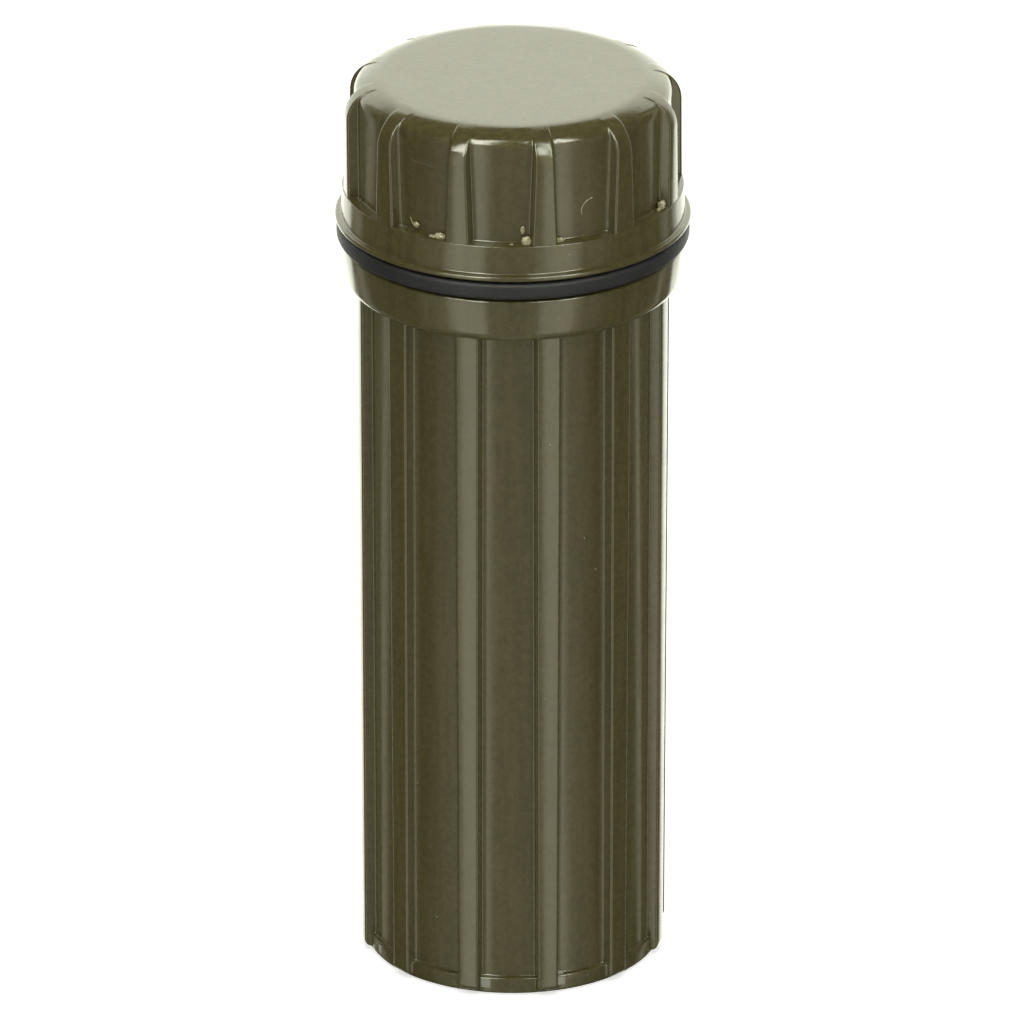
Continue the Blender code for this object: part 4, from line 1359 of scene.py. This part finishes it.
@dataclass(frozen=True)
class Cotton(Finish):
    """Loose cotton: soft white fibres with a sheen and small shadows between the tufts."""

    colour: Colour = (0.86, 0.84, 0.78)
    shade_colour: Colour = (0.74, 0.71, 0.63)
    shade_levels: Point = (0.75, 1.15)
    fibre: float = 0.12 * MM
    tuft: float = 0.9 * MM
    bend_tufts: float = 2.0
    strand_fibres: float = 3.0
    strand_rise: float = 1.5
    rise: float = 0.07 * MM
    strength: float = 0.6
    roughness: float = 0.95
    sheen: float = 0.35

    def shader(self, wiring: Wiring) -> Node:
        """Wires the cotton.

        Args:
            wiring: The material's wiring.

        Returns:
            The shader node.
        """
        place = wiring.place
        bend = wiring.noise(place, self.tuft * self.bend_tufts)
        warped = wiring.add("VectorMath", {0: place, 1: bend}, operation="ADD")
        inputs = {"Vector": place, "Scale": 1 / (self.strand_fibres * self.fibre)}
        strands = wiring.add("TexVoronoi", inputs, feature="DISTANCE_TO_EDGE").outputs["Distance"]
        fibres = wiring.noise(warped, self.fibre, detail=4.0, roughness=0.7)
        tufts = wiring.noise(place, self.tuft, detail=3.0)
        share = wiring.fade(wiring.plus(fibres, tufts), *self.shade_levels)
        colour = wiring.mix(share, self.shade_colour, self.colour)
        height = wiring.plus(fibres, wiring.times(strands, self.strand_rise))
        raised = relief(height, self.strength, self.rise)
        return wiring.surface(colour, self.roughness, raised, {"Sheen Weight": self.sheen})


@dataclass(frozen=True)
class Wax(Finish):
    """Pale candle wax with a bloom on it and a soft inner glow."""

    colour: Colour = (0.83, 0.79, 0.66)
    bloom_colour: Colour = (0.9, 0.88, 0.8)
    bloom_levels: Point = (0.55, 0.8)
    bloom_grain: float = 0.3
    cloud: float = 3.5 * MM
    cloud_levels: Point = (0.35, 0.65)
    roughnesses: Point = (0.34, 0.5)
    grain: float = 0.25 * MM
    ring: float = 9.0 * MM
    ring_rise: float = 0.6
    rise: float = 0.02 * MM
    strength: float = 0.5
    glow: float = 0.25
    glow_reach: Colour = (3.5 * MM, 2.5 * MM, 1.6 * MM)

    def shader(self, wiring: Wiring) -> Node:
        """Wires the wax.

        Args:
            wiring: The material's wiring.

        Returns:
            The shader node.
        """
        clouds = wiring.noise(wiring.place, self.cloud, detail=4.0, roughness=0.6)
        fine = wiring.noise(wiring.place, self.grain)
        inputs = {"Vector": wiring.place, "Scale": 1 / self.ring, "Distortion": 3.0, "Detail": 2.0}
        rings = wiring.add("TexWave", inputs, bands_direction="Z").outputs[1]
        bloom = wiring.plus(clouds, wiring.times(fine, self.bloom_grain))
        colour = wiring.mix(wiring.fade(bloom, *self.bloom_levels), self.colour, self.bloom_colour)
        rough = wiring.fade(clouds, *self.cloud_levels, *self.roughnesses)
        height = wiring.plus(fine, wiring.times(rings, self.ring_rise))
        more = {"Subsurface Weight": self.glow, "Subsurface Radius": self.glow_reach}
        return wiring.surface(colour, rough, relief(height, self.strength, self.rise), more)


@dataclass(frozen=True)
class Twisted(Finish):
    """Twisted cord, drawn as slanting strands round the piece's own axis, with painted shade darkening the
    gaps between them.
    """

    colour: Colour = (0.72, 0.69, 0.6)
    gap_shade_colour: Colour = (0.4, 0.37, 0.3)
    gap_shade_levels: Point = (-0.7, 0.6)
    strands: int = 3
    lay: float = 3.2 * MM
    fibre: float = 0.08 * MM
    fibre_rise: float = 0.5
    strength: float = 0.7
    roughness: float = 0.9
    sheen: float = 0.2

    def shader(self, wiring: Wiring) -> Node:
        """Wires the cord.

        Args:
            wiring: The material's wiring.

        Returns:
            The shader node.
        """
        place = wiring.place
        turn = wiring.math("ARCTAN2", wiring.parts(place, "Y"), wiring.parts(place, "X"))
        climb = wiring.times(wiring.parts(place, "Z"), math.tau / self.lay)
        phase = wiring.times(wiring.math("SUBTRACT", turn, climb), self.strands)
        fibres = wiring.times(wiring.noise(place, self.fibre, detail=3.0), self.fibre_rise)
        height = wiring.plus(wiring.math("COSINE", phase), fibres)
        # Painted shade: the colour darkens in the gaps between the strands.
        colour = wiring.mix(wiring.fade(height, *self.gap_shade_levels), self.gap_shade_colour, self.colour)
        raised = relief(height, self.strength, self.fibre)
        return wiring.surface(colour, self.roughness, raised, {"Sheen Weight": self.sheen})


@dataclass(frozen=True)
class Split(Finish):
    """Two grained finishes on one node, parted by a height or by the plane through an axis."""

    below: Grained
    above: Grained
    direction: tuple[float, float, float]
    border: float
    feather: float = 0.05 * MM
    wobble: float = 0.0
    wobble_length: float = 0.9 * MM

    def shader(self, wiring: Wiring) -> Node:
        """Wires both finishes and the border between them.

        Args:
            wiring: The material's wiring.

        Returns:
            The shader node.
        """
        along = wiring.add("VectorMath", {0: wiring.place, 1: self.direction}, operation="DOT_PRODUCT")
        uneven = wiring.times(wiring.noise(wiring.place, self.wobble_length), self.wobble)
        spot = wiring.plus(along.outputs["Value"], uneven)
        share = wiring.fade(spot, self.border - self.feather, self.border + self.feather)
        both = {0: share, 1: self.below.shader(wiring), 2: self.above.shader(wiring)}
        return wiring.add("MixShader", both)


@dataclass(frozen=True)
class Pencil(Finish):
    """Lacquered pencil wood, bare on the sharpened cone."""

    paint: Grained
    wood: Grained
    centre: Point = (-7.98 * MM, 6.23 * MM)
    cone_foot: float = 75.1 * MM
    cone_top: float = 88.1 * MM
    foot_radius: float = 3.58 * MM
    top_radius: float = 1.5 * MM
    feather: Point = (0.01 * MM, 0.05 * MM)

    def shader(self, wiring: Wiring) -> Node:
        """Wires the lacquer and the bare cone.

        Args:
            wiring: The material's wiring.

        Returns:
            The shader node.
        """
        move = (-self.centre[0], -self.centre[1], 0)
        centred = wiring.add("Mapping", {"Vector": wiring.place, "Location": move})
        flat = {0: wiring.parts(centred, "X"), 1: wiring.parts(centred, "Y")}
        flat = wiring.add("CombineXYZ", flat)
        radius = wiring.add("VectorMath", {0: flat}, operation="LENGTH").outputs["Value"]
        slope = (self.top_radius - self.foot_radius) / (self.cone_top - self.cone_foot)
        climbed = wiring.math("SUBTRACT", wiring.parts(centred, "Z"), self.cone_foot)
        cone = wiring.plus(wiring.times(climbed, slope), self.foot_radius)
        share = wiring.fade(wiring.math("SUBTRACT", cone, radius), *self.feather)
        both = {0: share, 1: self.wood.shader(wiring), 2: self.paint.shader(wiring)}
        return wiring.add("MixShader", both)


@dataclass(frozen=True)
class PaperWrap(Finish):
    """Coated wrapping paper with a fine pulp, soft creases with painted shade in them, and a plain coloured
    bar across it.
    """

    colour: Colour = (0.8, 0.78, 0.73)
    crease_shade_colour: Colour = (0.7, 0.675, 0.62)
    crease_shade_levels: Point = (0.75, 1.1)
    bar_colour: Colour = (0.5, 0.16, 0.1)
    bar_height: float = 47.1 * MM
    bar_half: float = 9.0 * MM
    bar_feather: float = 0.05 * MM
    pulp: float = 0.2 * MM
    pulp_rise: float = 0.2
    pulp_levels: Point = (0.3, 0.7)
    roughnesses: Point = (0.36, 0.52)
    crease: float = 3.0 * MM
    strength: float = 0.8

    def shader(self, wiring: Wiring) -> Node:
        """Wires the paper.

        Args:
            wiring: The material's wiring.

        Returns:
            The shader node.
        """
        pulp = wiring.noise(wiring.place, self.pulp, detail=4.0)
        creases = wiring.noise(wiring.place, self.crease, detail=4.0, roughness=0.65)
        # Painted shade: the paper darkens where the creases' bump sinks.
        share = wiring.fade(wiring.plus(pulp, creases), *self.crease_shade_levels)
        paper = wiring.mix(share, self.crease_shade_colour, self.colour)
        off = wiring.off(wiring.parts(wiring.place, "Z"), self.bar_height)
        inner, outer = self.bar_half - self.bar_feather, self.bar_half + self.bar_feather
        colour = wiring.mix(wiring.fade(off, inner, outer, 1.0, 0.0), paper, self.bar_colour)
        height = wiring.plus(wiring.times(pulp, self.pulp_rise), creases)
        rough = wiring.fade(pulp, *self.pulp_levels, *self.roughnesses)
        return wiring.surface(colour, rough, relief(height, self.strength, self.pulp))


@dataclass(frozen=True)
class ClearPlastic(Finish):
    """Clear lens plastic with a trace of haze."""

    colour: Colour = (0.96, 0.98, 0.97)
    haze: float = 1.2 * MM
    haze_levels: Point = (0.4, 0.7)
    roughnesses: Point = (0.02, 0.07)
    rise: float = 0.004 * MM
    strength: float = 0.3
    ior: float = 1.49

    def shader(self, wiring: Wiring) -> Node:
        """Wires the lens plastic.

        Args:
            wiring: The material's wiring.

        Returns:
            The shader node.
        """
        haze = wiring.noise(wiring.place, self.haze, detail=3.0)
        rough = wiring.fade(haze, *self.haze_levels, *self.roughnesses)
        more = {"IOR": self.ior, "Transmission Weight": 1.0}
        return wiring.surface((*self.colour, 1.0), rough, relief(haze, self.strength, self.rise), more)


OLIVE = MouldedPlastic("olive_plastic", (0.0965, 0.0825, 0.03), (0.0715, 0.061, 0.0195), 0.14)
RUBBER = Grained("black_rubber", (0.013, 0.0135, 0.015), (0.021, 0.022, 0.025), 0.55, specular=0.28)
FLASH = Grained("moulding_flash", (0.6, 0.56, 0.36), (0.34, 0.31, 0.17), 0.35, grain=0.15 * MM)
# A pale grey for the cap's scuffs and for painted highlights on the case's base ring.
SCUFF_AND_GLINT = Grained("scuff_and_glint_plastic", (0.34, 0.335, 0.27), (0.22, 0.215, 0.16), 0.3, grain=0.12 * MM)
BRASS = Grained("compass_brass", (0.62, 0.42, 0.15), (0.5, 0.33, 0.11), 0.24, 1.0, 0.3 * MM, 0.05)
CARD = Grained("dial_card", (0.84, 0.82, 0.76), (0.78, 0.755, 0.68), 0.6, grain=0.12 * MM)
INK = Grained("dial_ink", (0.025, 0.025, 0.03), (0.045, 0.045, 0.05), 0.4, grain=0.1 * MM)
STEEL = Grained("brushed_steel", (0.56, 0.56, 0.57), (0.44, 0.44, 0.455), 0.3, 1.0, 0.12 * MM, 30.0)
RED_ENAMEL = Grained("red_enamel", (0.6, 0.045, 0.03), (0.5, 0.035, 0.025), 0.22, grain=0.2 * MM)
PALE_ENAMEL = Grained("pale_enamel", (0.78, 0.78, 0.76), (0.68, 0.68, 0.66), 0.24, grain=0.2 * MM)
STICK_WOOD = Grained(
    "stick_wood", (0.66, 0.46, 0.25), (0.52, 0.34, 0.17), 0.62, 0.0, 0.22 * MM, 24.0, 0.03 * MM
)
MATCH_HEAD = Grained(
    "match_head", (0.22, 0.05, 0.03), (0.3, 0.09, 0.05), 0.72, grain=0.18 * MM, bump=0.06 * MM
)
CEDAR = Grained("cedar", (0.56, 0.33, 0.17), (0.43, 0.23, 0.11), 0.6, 0.0, 0.2 * MM, 20.0, 0.02 * MM)
LACQUER = Grained("pencil_lacquer", (0.66, 0.38, 0.05), (0.6, 0.33, 0.04), 0.2, grain=0.5 * MM)
GRAPHITE = Grained("graphite", (0.06, 0.06, 0.068), (0.09, 0.09, 0.1), 0.36, 0.3, 0.15 * MM)
FIRE_STEEL = Grained(
    "fire_steel", (0.11, 0.108, 0.11), (0.07, 0.068, 0.07), 0.42, 0.7, 0.3 * MM, 6.0, 0.03 * MM
)
GRIP = Grained(
    "grip_plastic", (0.03, 0.03, 0.031), (0.042, 0.042, 0.043), 0.4, grain=0.18 * MM, bump=0.02 * MM
)
GUARD = Grained("guard_card", (0.54, 0.41, 0.26), (0.44, 0.32, 0.19), 0.8, grain=0.3 * MM, bump=0.03 * MM)


@dataclass(frozen=True)
class Strip:
    """A tall soft light beside the camera, as glossy surfaces see it."""

    azimuth: float
    half_width: float
    feather: float
    strength: float


@dataclass(frozen=True)
class Spot:
    """A small bright light high beside the camera, found only by the round edges."""

    azimuth: float
    half_width: float
    low: float
    high: float
    strength: float
    feather: float = 2.0


@dataclass
class Studio:
    """The floor, the light and the camera at the photograph's angle.

    Angles are in degrees; a height in the sky is the sine of an elevation.
    """

    floor_size: float = 6.0
    floor_height: float = -0.05 * MM
    floor_colour: Colour = (0.8, 0.8, 0.8)
    floor_glow: float = 0.6
    plain_strength: float = 0.62
    lamp_height: float = 0.75
    lamp_size: float = 0.5
    lamp_power: float = 2.0
    elevation: float = 23.757
    distance: float = 1535.3 * MM
    target_height: float = 52.4 * MM
    focal_pixels: float = 13572.0
    frame_pixels: float = 1024.0
    centre_column: float = 513.0
    sensor: float = 36.0
    ambient: float = 0.12
    centre_glow: float = 0.7
    glow_heights: Point = (0.3, 0.55)
    glow_azimuths: Point = (50.0, 75.0)
    backdrop: float = 2.65
    backdrop_elevation: float = 4.0
    backdrop_reach: float = 48.0
    backdrop_feather: float = 0.05
    backdrop_top: float = 0.62
    strip_end: float = 0.58
    strip_start: Point = (-0.8, -0.6)
    end_feather: float = 0.03
    spot_feather: float = 0.02
    backdrop_tint: Colour = (0.975, 1.0, 0.86)
    strip_tint: Colour = (1.0, 0.98, 0.76)
    strips: tuple[Strip, ...] = (
        Strip(-30.0, 12.0, 4.0, 2.0),
        Strip(31.0, 12.0, 4.0, 1.8),
        Strip(120.0, 3.0, 1.5, 0.9),
        Strip(-125.0, 6.0, 4.0, 0.6),
    )
    spots: tuple[Spot, ...] = (
        Spot(-24.0, 6.5, 22.0, 72.0, 18.0),
        Spot(-40.0, 9.0, 32.0, 60.0, 16.0),
        Spot(21.0, 7.0, 32.0, 60.0, 16.0),
        Spot(41.0, 6.5, 22.0, 72.0, 18.0),
    )

    def camera(self) -> None:
        """Adds the camera."""
        data = bpy.data.cameras.new("view")
        data.sensor_width = self.sensor
        data.lens = self.sensor * self.focal_pixels / self.frame_pixels
        data.shift_x = (self.frame_pixels / 2 - self.centre_column) / self.frame_pixels
        data.clip_end = 10 * self.distance
        camera = bpy.data.objects.new("view", data)
        angle = math.radians(self.elevation)
        back = Vector((0, -math.cos(angle), math.sin(angle)))
        camera.location = Vector((0, 0, self.target_height)) + back * self.distance
        camera.rotation_euler = (math.pi / 2 - angle, 0, 0)
        bpy.context.scene.collection.objects.link(camera)
        bpy.context.scene.camera = camera

    def floor(self) -> None:
        """Adds the pale floor, which keeps the capsule's shadow."""
        deselect_all()
        bpy.ops.mesh.primitive_plane_add(size=self.floor_size, location=(0, 0, self.floor_height))
        floor = bpy.context.object
        floor.name = "floor"
        material = bpy.data.materials.new("floor_finish")
        material.use_nodes = True
        wiring = Wiring(material.node_tree)
        ray = wiring.add("LightPath").outputs
        seen = wiring.plus(ray["Is Camera Ray"], ray["Is Glossy Ray"])
        seen = wiring.plus(seen, ray["Is Transmission Ray"])
        glow = wiring.add("Emission", {"Strength": wiring.times(seen, self.floor_glow)})
        paint = wiring.add("BsdfDiffuse", {"Color": (*self.floor_colour, 1.0)})
        both = wiring.add("AddShader", {0: glow, 1: paint})
        wiring.add("OutputMaterial", {"Surface": both})
        floor.data.materials.append(material)
        floor.visible_glossy = False

    def window(self, wiring: Wiring, azimuth: Socket, light: Strip | Spot) -> Socket:
        """How strongly a light shines in a direction round the capsule.

        Args:
            wiring: The world's wiring.
            azimuth: Socket with the direction's azimuth in radians.
            light: The light.

        Returns:
            The light's strength there.
        """
        off = wiring.off(azimuth, math.radians(light.azimuth))
        inner = math.radians(light.half_width - light.feather)
        outer = math.radians(light.half_width + light.feather)
        return wiring.fade(off, inner, outer, light.strength, 0.0)

    def below(self, wiring: Wiring, height: Socket, end: float, feather: float) -> Socket:
        """One under a height in the sky and nothing over it."""
        return wiring.fade(height, end - feather, end + feather, 1.0, 0.0)

    def strip_light(self, wiring: Wiring, azimuth: Socket, height: Socket) -> Socket:
        """Wires the tall soft lights.

        Args:
            wiring: The world's wiring.
            azimuth: Socket with the direction's azimuth in radians.
            height: Socket with its height in the sky.

        Returns:
            Their strength in that direction.
        """
        lights = reduce(wiring.plus, [self.window(wiring, azimuth, strip) for strip in self.strips])
        ended = self.below(wiring, height, self.strip_end, self.end_feather)
        return wiring.times(wiring.times(lights, ended), wiring.fade(height, *self.strip_start))

    def spot_light(self, wiring: Wiring, azimuth: Socket, height: Socket) -> Socket:
        """Wires the small bright lights.

        Args:
            wiring: The world's wiring.
            azimuth: Socket with the direction's azimuth in radians.
            height: Socket with its height in the sky.

        Returns:
            Their strength in that direction.
        """
        windows = []
        for spot in self.spots:
            low, high = math.sin(math.radians(spot.low)), math.sin(math.radians(spot.high))
            risen = wiring.fade(height, low - self.spot_feather, low + self.spot_feather)
            window = wiring.times(self.window(wiring, azimuth, spot), risen)
            windows.append(wiring.times(window, self.below(wiring, height, high, self.spot_feather)))
        return reduce(wiring.plus, windows)

    def backdrop_light(self, wiring: Wiring, direction: Socket, height: Socket) -> Socket:
        """Wires the bright backdrop behind the capsule, which its flat top mirrors.

        Args:
            wiring: The world's wiring.
            direction: Socket with the direction.
            height: Socket with its height in the sky.

        Returns:
            The backdrop's strength in that direction.
        """
        lift, reach = math.radians(self.backdrop_elevation), math.radians(self.backdrop_reach)
        towards = (0.0, math.cos(lift), math.sin(lift))
        facing = wiring.add("VectorMath", {0: direction, 1: towards}, operation="DOT_PRODUCT")
        inner, outer = math.cos(reach + self.backdrop_feather), math.cos(reach - self.backdrop_feather)
        backdrop = wiring.fade(facing.outputs["Value"], inner, outer, 0.0, self.backdrop)
        return wiring.times(backdrop, self.below(wiring, height, self.backdrop_top, self.end_feather))

    def world(self) -> None:
        """Adds the soft studio: white to the camera, plain to matt surfaces, strips to glossy ones."""
        world = bpy.data.worlds.new("studio")
        world.use_nodes = True
        bpy.context.scene.world = world
        wiring = Wiring(world.node_tree)
        direction = wiring.add("TexCoord").outputs["Generated"]
        height = wiring.parts(direction, "Z")
        backwards = wiring.times(wiring.parts(direction, "Y"), -1.0)
        azimuth = wiring.math("ARCTAN2", wiring.parts(direction, "X"), backwards)
        inner, outer = (math.radians(edge) for edge in self.glow_azimuths)
        glow = wiring.fade(height, *self.glow_heights, self.centre_glow, self.ambient)
        centre = wiring.fade(wiring.math("ABSOLUTE", azimuth), inner, outer, glow, self.ambient)
        pattern = wiring.plus(self.strip_light(wiring, azimuth, height), centre)
        ray = wiring.add("LightPath").outputs
        plain = wiring.fade(ray["Is Camera Ray"], 0.0, 1.0, self.plain_strength, 1.0)
        plain = wiring.fade(ray["Is Transmission Ray"], 0.0, 1.0, plain, 1.0)
        strength = wiring.fade(ray["Is Glossy Ray"], 0.0, 1.0, plain, pattern)
        colour = wiring.mix(ray["Is Glossy Ray"], (1.0, 1.0, 1.0), self.strip_tint)
        near = wiring.add("Background", {"Color": colour, "Strength": strength})
        backdrop = self.backdrop_light(wiring, direction, height)
        behind = wiring.plus(backdrop, self.spot_light(wiring, azimuth, height))
        behind = wiring.times(behind, ray["Is Glossy Ray"])
        far = wiring.add("Background", {"Color": (*self.backdrop_tint, 1.0), "Strength": behind})
        wiring.add("OutputWorld", {"Surface": wiring.add("AddShader", {0: near, 1: far})})

    def lamp(self) -> None:
        """Adds the soft lamp overhead."""
        data = bpy.data.lights.new("soft_lamp", "AREA")
        data.size = self.lamp_size
        data.energy = self.lamp_power
        lamp = bpy.data.objects.new("soft_lamp", data)
        lamp.location = (0, 0, self.lamp_height)
        lamp.visible_glossy = False
        bpy.context.scene.collection.objects.link(lamp)

    def build(self) -> None:
        """Sets up the whole studio."""
        bpy.context.scene.view_settings.view_transform = "Standard"
        self.camera()
        self.floor()
        self.world()
        self.lamp()


def fit(
    piece: Piece, body: Body, material: bpy.types.Material, replaced: tuple[str, ...] = ()
) -> None:
    """Dresses a new piece and sets it on its body.

    Args:
        piece: The finished piece.
        body: The body that it moves with.
        material: The finish.
        replaced: The CAD nodes that it stands for.
    """
    piece.data.materials.clear()
    piece.data.materials.append(material)
    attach(piece, body.value)
    if replaced:
        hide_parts(*replaced)
    LOG.info("%s rides on %s, %d faces", piece.name, body.value, len(piece.data.polygons))


def dress(node: str, material: bpy.types.Material) -> None:
    """Gives a CAD node that stays its finish.

    Args:
        node: The node's name.
        material: The finish.
    """
    for slot in bpy.data.objects[node].material_slots:
        slot.material = material
    LOG.info("%s keeps its solid and is finished as %s", node, material.name)


@dataclass
class Shell:
    """The case, the seal and the cap, with their threads, the plastic crumbs and scuffs on them, and painted
    highlights on the case's base ring.
    """

    neck_wall: float = 15.6 * MM
    bore_wall: float = 16.5 * MM
    ridge: float = 0.75 * MM
    neck_start: float = 91.0 * MM
    bore_start: float = 90.6 * MM
    neck_turn: float = 200.0
    bore_turn: float = 344.0
    neck_turns: float = 1.6
    bore_turns: float = 1.5

    def threads(self) -> tuple[Thread, Thread]:
        """The ridges on the neck and in the cap's bore, which pass between each other.

        Returns:
            The neck's ridge and the bore's.
        """
        neck, bore = self.neck_wall, self.bore_wall
        return (
            Thread("neck_thread", neck, neck + self.ridge, self.neck_start, self.neck_turn, self.neck_turns),
            Thread("cap_thread", bore, bore - self.ridge, self.bore_start, self.bore_turn, self.bore_turns),
        )

    def build(self) -> None:
        """Models, dresses and places the shell's pieces."""
        low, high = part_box("cap")
        olive = OLIVE.material()
        fit(CaseShell().build(), Body.CASE, olive, ("capsule_body",))
        cap = ScrewCap(reach=min(high.x, high.y, -low.x, -low.y))
        fit(cap.build(), Body.CAP, olive, ("cap",))
        for thread, body in zip(self.threads(), (Body.CASE, Body.CAP)):
            fit(thread.build(), body, olive)
        fit(CAP_FLASH.build(), Body.CAP, FLASH.material())
        # The same pale grey serves the cap's scuffs and the case's painted highlights.
        scuff = SCUFF_AND_GLINT.material()
        fit(CAP_SCUFFS.build(), Body.CAP, scuff)
        fit(CASE_GLINTS.build(), Body.CASE, scuff)
        fit(SealRing().build(), Body.SEAL, RUBBER.material(), ("seal_ring",))


@dataclass
class Kit:
    wad_fill: float = 0.6
    match_count: int = 8
    match_head: float = 80.1 * MM
    match_feather: float = 0.15 * MM
    match_wobble: float = 0.4 * MM
    needle_turn: float = 20.0
    plaster_reaches: tuple[float, float] = (12.14 * MM, 10.24 * MM)

    def finishes(self) -> list[tuple[Finish, tuple[str, ...]]]:
        """The finish of every node that keeps its solid.

        Returns:
            Each finish with the nodes that it goes on.
        """
        turn = math.radians(self.needle_turn)
        along = (-math.sin(turn), math.cos(turn), 0.0)
        up, feather, wobble = (0.0, 0.0, 1.0), self.match_feather, self.match_wobble
        match = Split("match", STICK_WOOD, MATCH_HEAD, up, self.match_head, feather, wobble)
        matches = tuple(f"match_{number}" for number in range(1, self.match_count + 1))
        pins = ("pin_wire_1", "pin_wire_2", "pin_clasp_1", "pin_clasp_2")
        return [
            (Wax("candle_wax"), ("candle",)),
            (Twisted("wick_cord"), ("candle_wick",)),
            (BRASS, ("compass_case",)),
            (CARD, ("compass_dial",)),
            (Split("compass_needle", PALE_ENAMEL, RED_ENAMEL, along, 0.0), ("compass_needle",)),
            (ClearPlastic("clear_plastic"), ("compass_lens",)),
            (match, matches),
            (Pencil("pencil", LACQUER, CEDAR), ("pencil_barrel",)),
            (GRAPHITE, ("pencil_lead",)),
            (FIRE_STEEL, ("fire_rod",)),
            (GRIP, ("fire_rod_grip",)),
            (GUARD, ("blade_guard",)),
            (STEEL, ("compass_pivot", "scraper", "blade", *pins)),
        ]

    def build(self) -> None:
        wad = TinderWad().build()
        fit(wad, Body.CASE, Cotton("cotton").material(), ("tinder_wad",))
        fit(DialPrint().build(), Body.CASE, INK.material())
        wrap = PaperWrap("plaster_wrap").material()
        for number, reach in enumerate(self.plaster_reaches, 1):
            pack = PlasterPack(f"plaster_pack_{number}", reach)
            fit(pack.build(), Body.CASE, wrap, (f"plaster_{number}",))
        for finish, nodes in self.finishes():
            material = finish.material()
            for node in nodes:
                dress(node, material)


def main() -> None:
    """Builds and dresses the capsule in its studio."""
    logging.basicConfig(level=logging.INFO, format="%(name)s: %(message)s")
    Shell().build()
    Kit().build()
    Studio().build()


if __name__ == "__main__":
    main()
